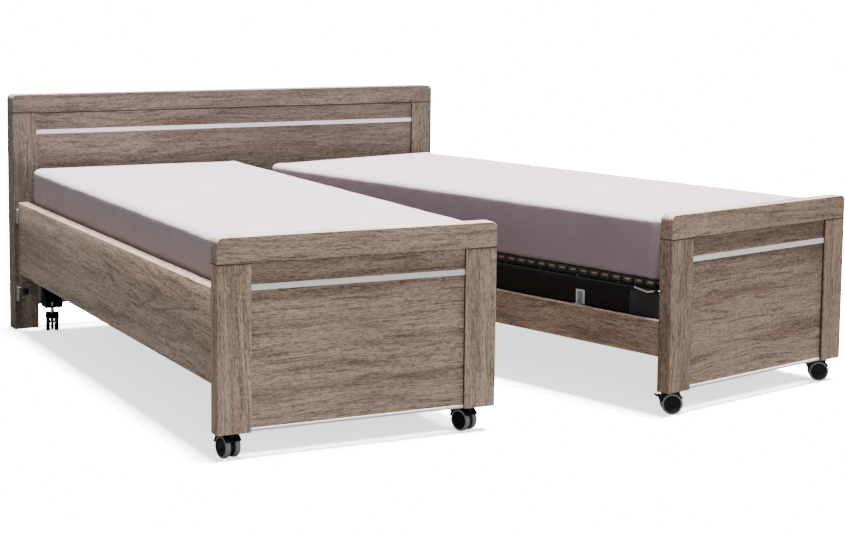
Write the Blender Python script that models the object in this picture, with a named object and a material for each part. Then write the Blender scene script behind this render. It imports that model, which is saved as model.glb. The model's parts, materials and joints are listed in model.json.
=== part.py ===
"""Adjustable double care bed.

One wide wooden headboard stands on the floor. Two motorised single beds hang on hinges at
its outer corners, roll on castors and swing apart. Each single bed has a steel base, a back,
a thigh and a calf section with slats, a drive unit, wooden rails, a footboard and a mattress.
"""

import math

import bmesh
import bpy
from mathutils import Vector

GAP = 0.0003  # between pieces that touch
CLEAR = 0.001  # between a castor and the piece above it

# Headboard. Its front face is the plane y = 0 of the bed's own frame.
HEADBOARD_W = 1.790
HEADBOARD_H = 0.885
HEADBOARD_T = 0.070
HEAD_POST_W = 0.092
HEAD_RAIL_H = 0.068
HEAD_PANEL_BOTTOM = 0.088
HEAD_PANEL_T = 0.030
HEAD_INLAY_Z = 0.7355

# Details shared by the headboard and the footboards
RECESS = 0.008  # from a post's front face back to the panel
INLAY_H = 0.016
INLAY_T = 0.0015
CORNER_R = 0.018
EDGE_R = 0.0015

# Swing hinges, in front of the headboard's outer corners
HINGE_IN = 0.012
HINGE_OUT = 0.010
KNUCKLE_R = 0.0075
PIN_R = 0.0040
PIN_HOLE_R = 0.0041
KNUCKLE_H = 0.026
HINGE_LOW_Z = 0.111
HINGE_HIGH_Z = 0.405
LEAF_W = 0.030
LEAF_T = 0.003

# How far each single bed stands open
OPEN_DEG = {"left": 2.0, "right": 12.5}

# One single bed: x from its outer side to its inner side, y from the hinge axis (0) to the foot
HALF_W = 0.878
HALF_L = 2.090
RAIL_HEAD_Y = -0.012
FOOT_T = 0.048
FOOT_H = 0.628
FOOT_RAIL_H = 0.076
FOOT_POST_W = 0.102
FOOT_POST_BOTTOM = 0.0745
FOOT_PANEL_BOTTOM = 0.0865
FOOT_PANEL_T = 0.022
FOOT_INLAY_Z = 0.4752
OUTER_RAIL_T = 0.038
OUTER_RAIL_Z = (0.2135, 0.484)
INNER_RAIL_T = 0.020
INNER_RAIL_Z = (0.184, 0.296)

# Steel base
BEAM_W = 0.028
BEAM_Z = (0.285, 0.372)
SHEET_T = 0.003
OUTER_BEAM_X = OUTER_RAIL_T + GAP
INNER_BEAM_X = 0.820
BASE_HEAD_Y = -0.030
BASE_FOOT_Y = -2.030
CROSS_W = 0.030
BRACKET_W = 0.064
BRACKET_DEPTH = 0.064
BRACKET_Z = 0.094
BRACKET_SIDE_TOP = 0.190

# Slatted sections
BAR_W = 0.018
BAR_Z = (0.378, 0.398)
OUTER_BAR_X = 0.046
INNER_BAR_X = 0.822
SLAT_W = 0.028
SLAT_Z = (0.396, 0.408)
SLAT_INSET = 0.003
SLAT_PITCH = 0.047
BACK_HINGE_Y = -0.750
THIGH_HINGE_Y = -0.940
KNEE_HINGE_Y = -1.272
SECTION_FOOT_Y = -1.998
HINGE_GAP = 0.006
SLAT_FROM_HINGE = 0.035
SLAT_FROM_END = 0.030
FALL_BAR_W = 0.018

# Mattress
MATTRESS_X = (0.044, 0.872)
MATTRESS_HEAD_Y = -0.030
MATTRESS_FOOT_Y = -2.026
MATTRESS_Z = (0.4095, 0.6195)
MATTRESS_CUT = 0.001
BACK_CUT_DEG = 45.0
THIGH_CUT_DEG = 20.0

# Drive unit under the base
MOTOR_W = 0.170
MOTOR_Y = (-0.560, -1.120)
MOTOR_Z = (0.215, 0.286)
MOTOR_END = 0.090
MOTOR_TOP_Z = 0.340

# Castors
WHEEL_R = 0.0335
WHEEL_T = 0.016
WEB_T = 0.012
WHEEL_GAP = 0.015
AXLE_R = 0.004
AXLE_HOLE_R = 0.0041
TRAIL = 0.020
HOOD_IN_R = 0.0350
HOOD_OUT_R = 0.0380
HOOD_SPAN_DEG = (15.0, 150.0)
HOOD_W = 0.050
WEB_R = 0.030
BOSS_R = 0.007
STEM_R = 0.005
STEM_HOLE_R = 0.0051
HUB_TOP_Z = 0.0725
FOOT_CASTOR_Y = -2.066
HEAD_CASTOR_Y = -0.080
CASTOR_X = {"outer": 0.052, "inner": 0.805}
HEAD_CASTOR_X = {"outer": 0.105, "inner": 0.805}
FOOT_STEM_TOP = 0.100
HEAD_STEM_TOP = 0.112
PEDAL_W = 0.036
PEDAL_T = 0.003
PEDAL_REACH = 0.016
PEDAL_HUB_R = 0.0035
PEDAL_DEG = 30.0
ROUND_SEGMENTS = 24

# How far each castor is turned about its stem, seen from above
CASTOR_TURN = {
    ("left", "foot_outer"): 10.0,
    ("left", "foot_inner"): 19.0,
    ("left", "head_outer"): -15.0,
    ("left", "head_inner"): 12.0,
    ("right", "foot_inner"): 49.5,
    ("right", "foot_outer"): 45.0,
    ("right", "head_outer"): 30.0,
    ("right", "head_inner"): 22.0,
}

# name: colour, metallic, roughness
MATERIALS = {
    "oak": ((0.33, 0.26, 0.20), 0.0, 0.55),
    "aluminium": ((0.72, 0.72, 0.70), 1.0, 0.35),
    "black_steel": ((0.012, 0.012, 0.013), 0.2, 0.5),
    "zinc": ((0.60, 0.60, 0.58), 1.0, 0.35),
    "black_plastic": ((0.015, 0.015, 0.016), 0.0, 0.45),
    "grey_rubber": ((0.22, 0.22, 0.21), 0.0, 0.7),
    "beech": ((0.62, 0.47, 0.32), 0.0, 0.5),
    "sheet": ((0.70, 0.67, 0.70), 0.0, 0.9),
}


def clear_scene():
    for obj in list(bpy.data.objects):
        bpy.data.objects.remove(obj, do_unlink=True)


def material(name):
    """The named Principled material, made once."""
    found = bpy.data.materials.get(name)
    if found:
        return found
    colour, metallic, roughness = MATERIALS[name]
    made = bpy.data.materials.new(name)
    made.use_nodes = True
    shader = made.node_tree.nodes["Principled BSDF"]
    shader.inputs["Base Color"].default_value = (*colour, 1.0)
    shader.inputs["Metallic"].default_value = metallic
    shader.inputs["Roughness"].default_value = roughness
    return made


def empty(name, parent, location=(0.0, 0.0, 0.0), turn_deg=0.0):
    """An empty on a joint's axis, which carries the pieces that turn about it."""
    made = bpy.data.objects.new(name, None)
    bpy.context.scene.collection.objects.link(made)
    made.parent = parent
    made.location = location
    made.rotation_euler = (0.0, 0.0, math.radians(turn_deg))
    return made


def link(name, bm, parent, slot, location=(0.0, 0.0, 0.0), smooth=False):
    """Turns a bmesh into a named object with its material."""
    bmesh.ops.recalc_face_normals(bm, faces=bm.faces)
    mesh = bpy.data.meshes.new(name)
    bm.to_mesh(mesh)
    bm.free()
    mesh.materials.append(material(slot))
    if smooth:
        mesh.shade_smooth()
        mesh.set_sharp_from_angle(angle=math.radians(35.0))
    made = bpy.data.objects.new(name, mesh)
    bpy.context.scene.collection.objects.link(made)
    made.parent = parent
    made.location = location
    return made


def add_box(bm, low, high):
    """One closed box between two corners."""
    low_corner = Vector([min(a, b) for a, b in zip(low, high)])
    high_corner = Vector([max(a, b) for a, b in zip(low, high)])
    size = high_corner - low_corner
    made = bmesh.ops.create_cube(bm, size=1.0)["verts"]
    bmesh.ops.scale(bm, vec=size, verts=made)
    bmesh.ops.translate(bm, vec=(low_corner + high_corner) / 2.0, verts=made)


def add_cylinder(bm, centre, radius, height, axis="Z", segments=ROUND_SEGMENTS):
    """One closed cylinder, centred, along the named axis."""
    made = bmesh.ops.create_cone(
        bm, cap_ends=True, segments=segments, radius1=radius, radius2=radius, depth=height
    )["verts"]
    if axis == "X":
        for vert in made:
            vert.co = Vector((vert.co.z, vert.co.y, -vert.co.x))
    bmesh.ops.translate(bm, vec=Vector(centre), verts=made)


def add_prism(bm, outline, low, high, axis="X"):
    """Extrudes a closed outline along the named axis. The outline's two numbers are y and z
    for axis X, and x and z for axis Y."""
    if axis == "X":
        corners = [bm.verts.new((low, a, b)) for a, b in outline]
        step = Vector((high - low, 0.0, 0.0))
    else:
        corners = [bm.verts.new((a, low, b)) for a, b in outline]
        step = Vector((0.0, high - low, 0.0))
    face = bm.faces.new(corners)
    raised = bmesh.ops.extrude_face_region(bm, geom=[face])["geom"]
    bmesh.ops.translate(bm, vec=step, verts=[v for v in raised if isinstance(v, bmesh.types.BMVert)])


def hidden_tool(name, bm, parent):
    """A cutter or an added shape for a Boolean, which isn't a piece of its own."""
    tool = link(name, bm, parent, "black_steel")
    tool.hide_render = True
    tool.display_type = "WIRE"
    return tool


def boolean(target, tool, operation):
    """An EXACT Boolean on the target, kept as a modifier."""
    step = target.modifiers.new(operation.lower(), "BOOLEAN")
    step.operation = operation
    step.object = tool
    step.use_self = operation == "UNION"


def soften(obj, width=EDGE_R):
    """A small bevel on the corners of a board."""
    step = obj.modifiers.new("edges", "BEVEL")
    step.width = width
    step.segments = 1
    step.limit_method = "ANGLE"
    step.angle_limit = math.radians(40.0)


def board(name, parent, low, high, slot="oak", rounded=True):
    """A plain board between two corners."""
    bm = bmesh.new()
    add_box(bm, low, high)
    made = link(name, bm, parent, slot)
    if rounded:
        soften(made)
    return made


def joined(name, parent, slot, first, others):
    """One body from a first box and more boxes that reach into each other."""
    bm = bmesh.new()
    add_box(bm, *first)
    made = link(name, bm, parent, slot)
    more = bmesh.new()
    for low, high in others:
        add_box(more, low, high)
    boolean(made, hidden_tool(name + "_added", more, parent), "UNION")
    return made


def bore(target, parent, centre, radius, height):
    """A round hole along Z."""
    bm = bmesh.new()
    add_cylinder(bm, centre, radius, height, segments=ROUND_SEGMENTS)
    boolean(target, hidden_tool(target.name + "_bore", bm, parent), "DIFFERENCE")


def side(sign, x_low, x_high):
    """x of a single bed's piece, counted from its outer side towards the middle."""
    return sorted((sign * x_low, sign * x_high))


def half_box(sign, x_low, x_high, y_low, y_high, z_low, z_high):
    """Two corners of a box in a single bed."""
    x_a, x_b = side(sign, x_low, x_high)
    return (x_a, min(y_low, y_high), z_low), (x_b, max(y_low, y_high), z_high)


# ---------------------------------------------------------------- headboard


def rounded_rail_outline(x_low, x_high, z_low, z_high, round_low, round_high, steps=6):
    """A rail seen from the front, with its chosen top corners rounded."""
    outline = [(x_low, z_low), (x_high, z_low)]
    if round_high:
        for i in range(steps + 1):
            a = math.radians(90.0 * i / steps)
            outline.append((x_high - CORNER_R + CORNER_R * math.cos(a), z_high - CORNER_R + CORNER_R * math.sin(a)))
    else:
        outline.append((x_high, z_high))
    if round_low:
        for i in range(steps + 1):
            a = math.radians(90.0 + 90.0 * i / steps)
            outline.append((x_low + CORNER_R + CORNER_R * math.cos(a), z_high - CORNER_R + CORNER_R * math.sin(a)))
    else:
        outline.append((x_low, z_high))
    return outline


def top_rail(name, parent, x_low, x_high, y_low, y_high, z_low, z_high):
    """A rail across the top of a board, with rounded outer corners."""
    bm = bmesh.new()
    outline = rounded_rail_outline(x_low, x_high, z_low, z_high, True, True)
    add_prism(bm, outline, y_low, y_high, axis="Y")
    made = link(name, bm, parent, "oak", smooth=True)
    soften(made)
    return made


def headboard(bed):
    """Two posts, a top rail, a set-back panel and an inlay strip."""
    half = HEADBOARD_W / 2.0
    post_top = HEADBOARD_H - HEAD_RAIL_H - GAP
    inner = half - HEAD_POST_W
    panel_front = RECESS
    for name, x_low in (("left", -half), ("right", inner)):
        low = (x_low, 0.0, 0.0)
        high = (x_low + HEAD_POST_W, HEADBOARD_T, post_top)
        board("headboard_post_" + name, bed, low, high)
    top_rail(
        "headboard_top_rail", bed, -half, half, 0.0, HEADBOARD_T, HEADBOARD_H - HEAD_RAIL_H, HEADBOARD_H
    )
    panel_x = inner - GAP
    low = (-panel_x, panel_front, HEAD_PANEL_BOTTOM)
    high = (panel_x, panel_front + HEAD_PANEL_T, post_top)
    board("headboard_panel", bed, low, high)
    low = (-panel_x, panel_front - GAP - INLAY_T, HEAD_INLAY_Z)
    high = (panel_x, panel_front - GAP, HEAD_INLAY_Z + INLAY_H)
    board("headboard_inlay", bed, low, high, slot="aluminium", rounded=False)


def hinge_rod(bed, name, sign):
    """A fixed hinge: one long pin with a leaf and a knuckle at each of its two levels."""
    axis_x = -sign * (HEADBOARD_W / 2.0 - HINGE_IN)
    top = HINGE_HIGH_Z + 2.0 * KNUCKLE_H
    bm = bmesh.new()
    add_cylinder(bm, (axis_x, -HINGE_OUT, (HINGE_LOW_Z + top) / 2.0), PIN_R, top - HINGE_LOW_Z - GAP)
    made = link("hinge_rod_" + name, bm, bed, "zinc")
    more = bmesh.new()
    for z in (HINGE_LOW_Z, HINGE_HIGH_Z):
        centre = (axis_x, -HINGE_OUT, z + KNUCKLE_H / 2.0)
        add_cylinder(more, centre, KNUCKLE_R, KNUCKLE_H - CLEAR)
        x_a, x_b = sorted((axis_x, axis_x + sign * LEAF_W))
        low = (x_a, -GAP - LEAF_T, z)
        high = (x_b, -GAP, z + 2.0 * KNUCKLE_H)
        leaf_top = z + KNUCKLE_H - CLEAR / 2.0
        add_box(more, low, (high[0], high[1], leaf_top))
    boolean(made, hidden_tool(made.name + "_added", more, bed), "UNION")


def moving_leaf(bm, sign, z, reach_y):
    """The turning leaf and knuckle of one hinge, in a single bed's own frame."""
    centre = (0.0, 0.0, z + 1.5 * KNUCKLE_H)
    add_cylinder(bm, centre, KNUCKLE_R, KNUCKLE_H - CLEAR)
    low_z = z + KNUCKLE_H + CLEAR / 2.0
    high_z = z + 2.0 * KNUCKLE_H - CLEAR / 2.0
    low, high = half_box(sign, 0.0, LEAF_W, -KNUCKLE_R + CLEAR, reach_y, low_z, high_z)
    add_box(bm, low, high)


# ---------------------------------------------------------------- one single bed


def wooden_rails(half, name, sign):
    """The tall outer rail with its hinge leaf, and the low inner rail."""
    foot_y = -HALF_L + FOOT_T + GAP
    low, high = half_box(sign, 0.0, OUTER_RAIL_T, foot_y, RAIL_HEAD_Y, *OUTER_RAIL_Z)
    bm = bmesh.new()
    add_box(bm, low, high)
    rail = link("outer_rail_" + name, bm, half, "oak")
    more = bmesh.new()
    moving_leaf(more, sign, HINGE_HIGH_Z, RAIL_HEAD_Y - CLEAR)
    boolean(rail, hidden_tool(rail.name + "_added", more, half), "UNION")
    pin_top = HINGE_HIGH_Z + 1.5 * KNUCKLE_H
    bore(rail, half, (0.0, 0.0, pin_top), PIN_HOLE_R, 2.0 * KNUCKLE_H)
    low, high = half_box(sign, HALF_W - INNER_RAIL_T, HALF_W, foot_y, RAIL_HEAD_Y, *INNER_RAIL_Z)
    board("inner_rail_" + name, half, low, high)


def footboard(half, name, sign):
    """Two posts with a castor socket each, a top rail, a set-back panel and an inlay strip."""
    front = -HALF_L
    back = -HALF_L + FOOT_T
    post_top = FOOT_H - FOOT_RAIL_H - GAP
    posts = (("outer", 0.0), ("inner", HALF_W - FOOT_POST_W))
    for place, x in posts:
        low, high = half_box(sign, x, x + FOOT_POST_W, front, back, FOOT_POST_BOTTOM, post_top)
        post = board("foot_post_" + place + "_" + name, half, low, high)
        centre = (sign * CASTOR_X[place], FOOT_CASTOR_Y, FOOT_POST_BOTTOM)
        bore(post, half, centre, STEM_HOLE_R, 2.0 * (FOOT_STEM_TOP - FOOT_POST_BOTTOM + CLEAR))
    x_a, x_b = side(sign, 0.0, HALF_W)
    top_rail("foot_top_rail_" + name, half, x_a, x_b, front, back, FOOT_H - FOOT_RAIL_H, FOOT_H)
    panel_x = (FOOT_POST_W + GAP, HALF_W - FOOT_POST_W - GAP)
    panel_front = front + RECESS
    low, high = half_box(sign, *panel_x, panel_front, panel_front + FOOT_PANEL_T, FOOT_PANEL_BOTTOM, post_top)
    board("foot_panel_" + name, half, low, high)
    inlay_back = panel_front - GAP
    inlay = half_box(sign, *panel_x, inlay_back - INLAY_T, inlay_back, FOOT_INLAY_Z, FOOT_INLAY_Z + INLAY_H)
    board("foot_inlay_" + name, half, *inlay, slot="aluminium", rounded=False)


def channel(sign, x_low, web_outside):
    """Three sheets of a side beam: an upright web and two flanges."""
    x_high = x_low + BEAM_W
    web_x = x_low if web_outside else x_high - SHEET_T
    z_low, z_high = BEAM_Z
    ends = (BASE_FOOT_Y, BASE_HEAD_Y)
    return [
        half_box(sign, web_x, web_x + SHEET_T, *ends, z_low, z_high),
        half_box(sign, x_low, x_high, *ends, z_low, z_low + SHEET_T),
        half_box(sign, x_low, x_high, *ends, z_high - SHEET_T, z_high),
    ]


def crossbar(sign, y_low, y_high):
    """An L-shaped bar between the side beams, just under their top flanges."""
    x_ends = (OUTER_BEAM_X + SHEET_T / 2.0, INNER_BEAM_X + BEAM_W - SHEET_T / 2.0)
    top = BEAM_Z[1] - SHEET_T / 2.0
    return [
        half_box(sign, *x_ends, y_low, y_high, top - SHEET_T, top),
        half_box(sign, *x_ends, y_low, y_low + SHEET_T, BEAM_Z[0] + SHEET_T / 2.0, top),
    ]


def castor_bracket(sign, x):
    """A folded plate that hangs from the head crossbar and holds one head castor."""
    half_w = BRACKET_W / 2.0
    back = BASE_HEAD_Y - CROSS_W / 2.0
    front = HEAD_CASTOR_Y - BRACKET_DEPTH / 2.0
    top = BEAM_Z[1] - SHEET_T
    boxes = [
        half_box(sign, x - half_w, x + half_w, back - SHEET_T, back, BRACKET_Z, top),
        half_box(sign, x - half_w, x + half_w, front, back, BRACKET_Z, BRACKET_Z + 2.0 * SHEET_T),
    ]
    for edge in (x - half_w, x + half_w - SHEET_T):
        boxes.append(half_box(sign, edge, edge + SHEET_T, front, back, BRACKET_Z, BRACKET_SIDE_TOP))
    return boxes


def slat_rows(y_from, y_to):
    """Middle lines of evenly pitched slats between two y values, both negative."""
    length = y_from - y_to
    count = int(round(length / SLAT_PITCH)) + 1
    return [y_from - length * i / (count - 1) for i in range(count)]


def slats(sign, rows):
    """One flat slat on each row, resting into both side bars."""
    x_ends = (OUTER_BAR_X + SLAT_INSET, INNER_BAR_X + BAR_W - SLAT_INSET)
    half_w = SLAT_W / 2.0
    return [half_box(sign, *x_ends, y - half_w, y + half_w, *SLAT_Z) for y in rows]


def side_bars(sign, y_low, y_high):
    """The two bars that carry a section's slats."""
    starts = (OUTER_BAR_X, INNER_BAR_X)
    return [half_box(sign, x, x + BAR_W, y_low, y_high, *BAR_Z) for x in starts]


def base_frame(half, name, sign):
    """Side beams, crossbars, castor brackets, the fixed seat slats and the low hinge leaf."""
    boxes = channel(sign, OUTER_BEAM_X, True) + channel(sign, INNER_BEAM_X, False)
    boxes += crossbar(sign, BASE_HEAD_Y - CROSS_W, BASE_HEAD_Y)
    boxes += crossbar(sign, BASE_FOOT_Y, BASE_FOOT_Y + CROSS_W)
    boxes += crossbar(sign, BACK_HINGE_Y - CROSS_W / 2.0, BACK_HINGE_Y + CROSS_W / 2.0)
    boxes += crossbar(sign, THIGH_HINGE_Y - CROSS_W / 2.0, THIGH_HINGE_Y + CROSS_W / 2.0)
    for x in HEAD_CASTOR_X.values():
        boxes += castor_bracket(sign, x)
    seat = (THIGH_HINGE_Y + HINGE_GAP, BACK_HINGE_Y - HINGE_GAP)
    for low, high in side_bars(sign, *seat):
        foot = (low[0], low[1], BEAM_Z[1] - SHEET_T / 2.0)
        boxes.append((foot, high))
    boxes += slats(sign, slat_rows(BACK_HINGE_Y - SLAT_FROM_HINGE, THIGH_HINGE_Y + SLAT_FROM_HINGE))
    drop_x = (0.004, OUTER_BEAM_X + SHEET_T)
    leaf_z = HINGE_LOW_Z + KNUCKLE_H
    low_leaf_y = (BASE_HEAD_Y - SHEET_T, BASE_HEAD_Y)
    boxes.append(half_box(sign, *drop_x, *low_leaf_y, leaf_z, OUTER_RAIL_Z[0] - CLEAR))
    boxes.append(half_box(sign, OUTER_BEAM_X, OUTER_BEAM_X + BEAM_W, *low_leaf_y, leaf_z, BEAM_Z[1] - SHEET_T))
    frame = joined("base_frame_" + name, half, "black_steel", boxes[0], boxes[1:])
    leaf = bmesh.new()
    moving_leaf(leaf, sign, HINGE_LOW_Z, BASE_HEAD_Y - SHEET_T / 2.0)
    boolean(frame, hidden_tool(frame.name + "_leaf", leaf, half), "UNION")
    bore(frame, half, (0.0, 0.0, HINGE_LOW_Z + 1.5 * KNUCKLE_H), PIN_HOLE_R, 2.0 * KNUCKLE_H)
    for x in HEAD_CASTOR_X.values():
        bore(frame, half, (sign * x, HEAD_CASTOR_Y, BRACKET_Z), STEM_HOLE_R, 8.0 * SHEET_T)


def section(parent, origin, name, sign, y_head, y_foot, rows, end_bar_y=None):
    """A slatted section: two bars, its slats and, at a free end, a bar across."""
    boxes = side_bars(sign, y_foot, y_head) + slats(sign, rows)
    if end_bar_y is not None:
        x_ends = (OUTER_BAR_X + SLAT_INSET, INNER_BAR_X + BAR_W - SLAT_INSET)
        z_ends = (BAR_Z[0] + SLAT_INSET, BAR_Z[1] - SLAT_INSET)
        boxes.append(half_box(sign, *x_ends, *end_bar_y, *z_ends))
    shifted = []
    for low, high in boxes:
        shifted.append((Vector(low) - origin, Vector(high) - origin))
    return joined(name, parent, "beech", shifted[0], shifted[1:])


def sections(half, name, sign):
    """Back, thigh and calf on their hinge axes. Returns the three axis empties and origins."""
    back_at = Vector((0.0, BACK_HINGE_Y, BAR_Z[1]))
    thigh_at = Vector((0.0, THIGH_HINGE_Y, BAR_Z[1]))
    knee_at = Vector((0.0, KNEE_HINGE_Y, BAR_Z[0]))
    back = empty("back_axis_" + name, half, back_at)
    thigh = empty("thigh_axis_" + name, half, thigh_at)
    calf = empty("knee_axis_" + name, thigh, knee_at - thigh_at)
    head_y = BASE_HEAD_Y - GAP
    rows = slat_rows(head_y - SLAT_FROM_END, BACK_HINGE_Y + SLAT_FROM_HINGE)
    section(
        back, back_at, "back_section_" + name, sign, head_y, BACK_HINGE_Y + HINGE_GAP, rows,
        (head_y - FALL_BAR_W, head_y),
    )
    rows = slat_rows(THIGH_HINGE_Y - SLAT_FROM_HINGE, KNEE_HINGE_Y + SLAT_FROM_END)
    section(
        thigh, thigh_at, "thigh_section_" + name, sign,
        THIGH_HINGE_Y - HINGE_GAP, KNEE_HINGE_Y + HINGE_GAP, rows,
    )
    rows = slat_rows(KNEE_HINGE_Y - SLAT_FROM_END, SECTION_FOOT_Y + SLAT_FROM_END)
    section(
        calf, knee_at, "calf_section_" + name, sign,
        KNEE_HINGE_Y - HINGE_GAP, SECTION_FOOT_Y, rows, (SECTION_FOOT_Y, SECTION_FOOT_Y + FALL_BAR_W),
    )
    return (back, back_at), (thigh, thigh_at), (calf, knee_at)


def mattress_block(parent, origin, name, sign, y_head, y_foot, head_lean=0.0, foot_lean=0.0):
    """A foam block. A lean moves the top edge of that end, positive towards the foot."""
    z_low, z_high = MATTRESS_Z
    outline = [(y_foot, z_low), (y_head, z_low), (y_head - head_lean, z_high), (y_foot - foot_lean, z_high)]
    outline = [(y - origin.y, z - origin.z) for y, z in outline]
    bm = bmesh.new()
    add_prism(bm, outline, *side(sign, *MATTRESS_X))
    return link("mattress_" + name, bm, parent, "sheet")


def mattress(half, name, sign, back, thigh, calf):
    """Four blocks that lie on the back section, the seat, the thigh and the calf section."""
    height = MATTRESS_Z[1] - MATTRESS_Z[0]
    back_lean = height * math.tan(math.radians(BACK_CUT_DEG))
    thigh_lean = height * math.tan(math.radians(THIGH_CUT_DEG))
    hip = BACK_HINGE_Y + HINGE_GAP
    leg = THIGH_HINGE_Y - HINGE_GAP
    mattress_block(*back, "back_" + name, sign, MATTRESS_HEAD_Y, hip, 0.0, -back_lean)
    seat_at = Vector((0.0, 0.0, 0.0))
    seat_head = hip - MATTRESS_CUT
    seat_foot = leg + MATTRESS_CUT
    mattress_block(half, seat_at, "seat_" + name, sign, seat_head, seat_foot, -back_lean, thigh_lean)
    mattress_block(*thigh, "thigh_" + name, sign, leg, KNEE_HINGE_Y + MATTRESS_CUT, thigh_lean, 0.0)
    mattress_block(*calf, "calf_" + name, sign, KNEE_HINGE_Y - MATTRESS_CUT, MATTRESS_FOOT_Y)


def drive_unit(half, name, sign):
    """A double drive: a flat body with a taller housing at each end."""
    x_low = (HALF_W - MOTOR_W) / 2.0
    x_ends = (x_low, x_low + MOTOR_W)
    y_head, y_foot = MOTOR_Y
    inset = 4.0 * SHEET_T
    body = half_box(sign, x_low + inset, x_low + MOTOR_W - inset, y_foot + inset, y_head - inset, *MOTOR_Z)
    ends = []
    for y_a, y_b in ((y_foot, y_foot + MOTOR_END), (y_head - MOTOR_END, y_head)):
        ends.append(half_box(sign, *x_ends, y_a, y_b, MOTOR_Z[0] - SHEET_T, MOTOR_TOP_Z))
    joined("drive_unit_" + name, half, "black_plastic", body, ends)


# ---------------------------------------------------------------- castors


def ring(radius, from_deg, to_deg, steps, centre):
    """Points along an arc in the y-z plane."""
    points = []
    for i in range(steps + 1):
        a = math.radians(from_deg + (to_deg - from_deg) * i / steps)
        points.append((centre[0] + radius * math.cos(a), centre[1] + radius * math.sin(a)))
    return points


def castor_housing(parent, name, stem_top):
    """Web, boss, hood and stem of one castor. It trails towards +y."""
    hub = (TRAIL, WHEEL_R)
    bm = bmesh.new()
    add_cylinder(bm, (0.0, *hub), WEB_R, WEB_T, axis="X")
    body = link(name, bm, parent, "black_plastic", smooth=True)
    more = bmesh.new()
    add_cylinder(more, (0.0, 0.0, (WHEEL_R + HUB_TOP_Z) / 2.0), BOSS_R, HUB_TOP_Z - WHEEL_R)
    add_cylinder(more, (0.0, 0.0, (HUB_TOP_Z + stem_top) / 2.0 - CLEAR), STEM_R, stem_top - HUB_TOP_Z + 2.0 * CLEAR)
    arc = ring(HOOD_OUT_R, *HOOD_SPAN_DEG, 10, hub) + ring(HOOD_IN_R, *reversed(HOOD_SPAN_DEG), 10, hub)
    add_prism(more, arc, -HOOD_W / 2.0, HOOD_W / 2.0)
    tie_low = hub[1] + WEB_R - 2.0 * CLEAR
    tie_high = hub[1] + HOOD_IN_R + CLEAR
    add_box(more, (-WEB_T / 2.0, 0.0, tie_low - BOSS_R), (WEB_T / 2.0, hub[0] + BOSS_R, tie_high))
    boolean(body, hidden_tool(name + "_added", more, parent), "UNION")
    hole = bmesh.new()
    add_cylinder(hole, (0.0, *hub), AXLE_HOLE_R, 2.0 * WEB_T, axis="X")
    boolean(body, hidden_tool(name + "_bore", hole, parent), "DIFFERENCE")


def wheel_pair(parent, name):
    """Two wheels on one axle, turned about the axle."""
    inner = WHEEL_GAP / 2.0
    outer = inner + WHEEL_T
    crown = 0.0015
    profile = [
        (-outer, 0.0), (-outer, WHEEL_R - 2.0 * crown), (-outer + crown, WHEEL_R),
        (-inner - crown, WHEEL_R), (-inner, WHEEL_R - 2.0 * crown), (-inner, AXLE_R),
        (inner, AXLE_R), (inner, WHEEL_R - 2.0 * crown), (inner + crown, WHEEL_R),
        (outer - crown, WHEEL_R), (outer, WHEEL_R - 2.0 * crown), (outer, 0.0),
    ]
    bm = bmesh.new()
    line = [bm.verts.new((x, 0.0, r)) for x, r in profile]
    edges = [bm.edges.new(pair) for pair in zip(line[:-1], line[1:])]
    bmesh.ops.spin(
        bm, geom=line + edges, cent=(0.0, 0.0, 0.0), axis=(1.0, 0.0, 0.0),
        angle=math.tau, steps=ROUND_SEGMENTS, use_merge=True,
    )
    bmesh.ops.remove_doubles(bm, verts=bm.verts, dist=0.00001)
    link(name, bm, parent, "grey_rubber", (0.0, TRAIL, WHEEL_R), smooth=True)


def brake_pedal(parent, name):
    """A lever with a round hub behind the hood."""
    angle = math.radians(PEDAL_DEG)
    radius = HOOD_OUT_R + PEDAL_HUB_R + CLEAR
    at = (0.0, TRAIL + radius * math.cos(angle), WHEEL_R + radius * math.sin(angle))
    bm = bmesh.new()
    add_cylinder(bm, (0.0, 0.0, 0.0), PEDAL_HUB_R, PEDAL_W, axis="X", segments=12)
    pedal = link(name, bm, parent, "black_plastic", at)
    more = bmesh.new()
    rise = PEDAL_REACH * 0.45
    outline = [
        (0.0, -PEDAL_T / 2.0), (PEDAL_REACH, rise - PEDAL_T), (PEDAL_REACH, rise), (0.0, PEDAL_T / 2.0),
    ]
    add_prism(more, outline, -PEDAL_W / 2.0 + CLEAR, PEDAL_W / 2.0 - CLEAR)
    tool = hidden_tool(name + "_added", more, parent)
    tool.location = at
    boolean(pedal, tool, "UNION")


def castor(half, name, sign, place, x, y, stem_top, braked):
    """One swivelling twin-wheel castor below a single bed."""
    turn = CASTOR_TURN[(name, place)]
    swivel = empty("swivel_" + place + "_" + name, half, (sign * x, y, 0.0), turn)
    castor_housing(swivel, "castor_" + place + "_" + name, stem_top)
    wheel_pair(swivel, "wheels_" + place + "_" + name)
    if braked:
        brake_pedal(swivel, "brake_pedal_" + place + "_" + name)


def castors(half, name, sign):
    """Braked castors in the foot posts and plain ones under the head brackets."""
    for place in ("outer", "inner"):
        castor(half, name, sign, "foot_" + place, CASTOR_X[place], FOOT_CASTOR_Y, FOOT_STEM_TOP, True)
    for place in ("outer", "inner"):
        castor(half, name, sign, "head_" + place, HEAD_CASTOR_X[place], HEAD_CASTOR_Y, HEAD_STEM_TOP, False)


def single_bed(bed, name, sign):
    """Everything that swings on one side of the headboard."""
    at = (-sign * (HEADBOARD_W / 2.0 - HINGE_IN), -HINGE_OUT, 0.0)
    half = empty("half_" + name, bed, at, -sign * OPEN_DEG[name])
    wooden_rails(half, name, sign)
    footboard(half, name, sign)
    base_frame(half, name, sign)
    back, thigh, calf = sections(half, name, sign)
    mattress(half, name, sign, back, thigh, calf)
    drive_unit(half, name, sign)
    castors(half, name, sign)


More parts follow.
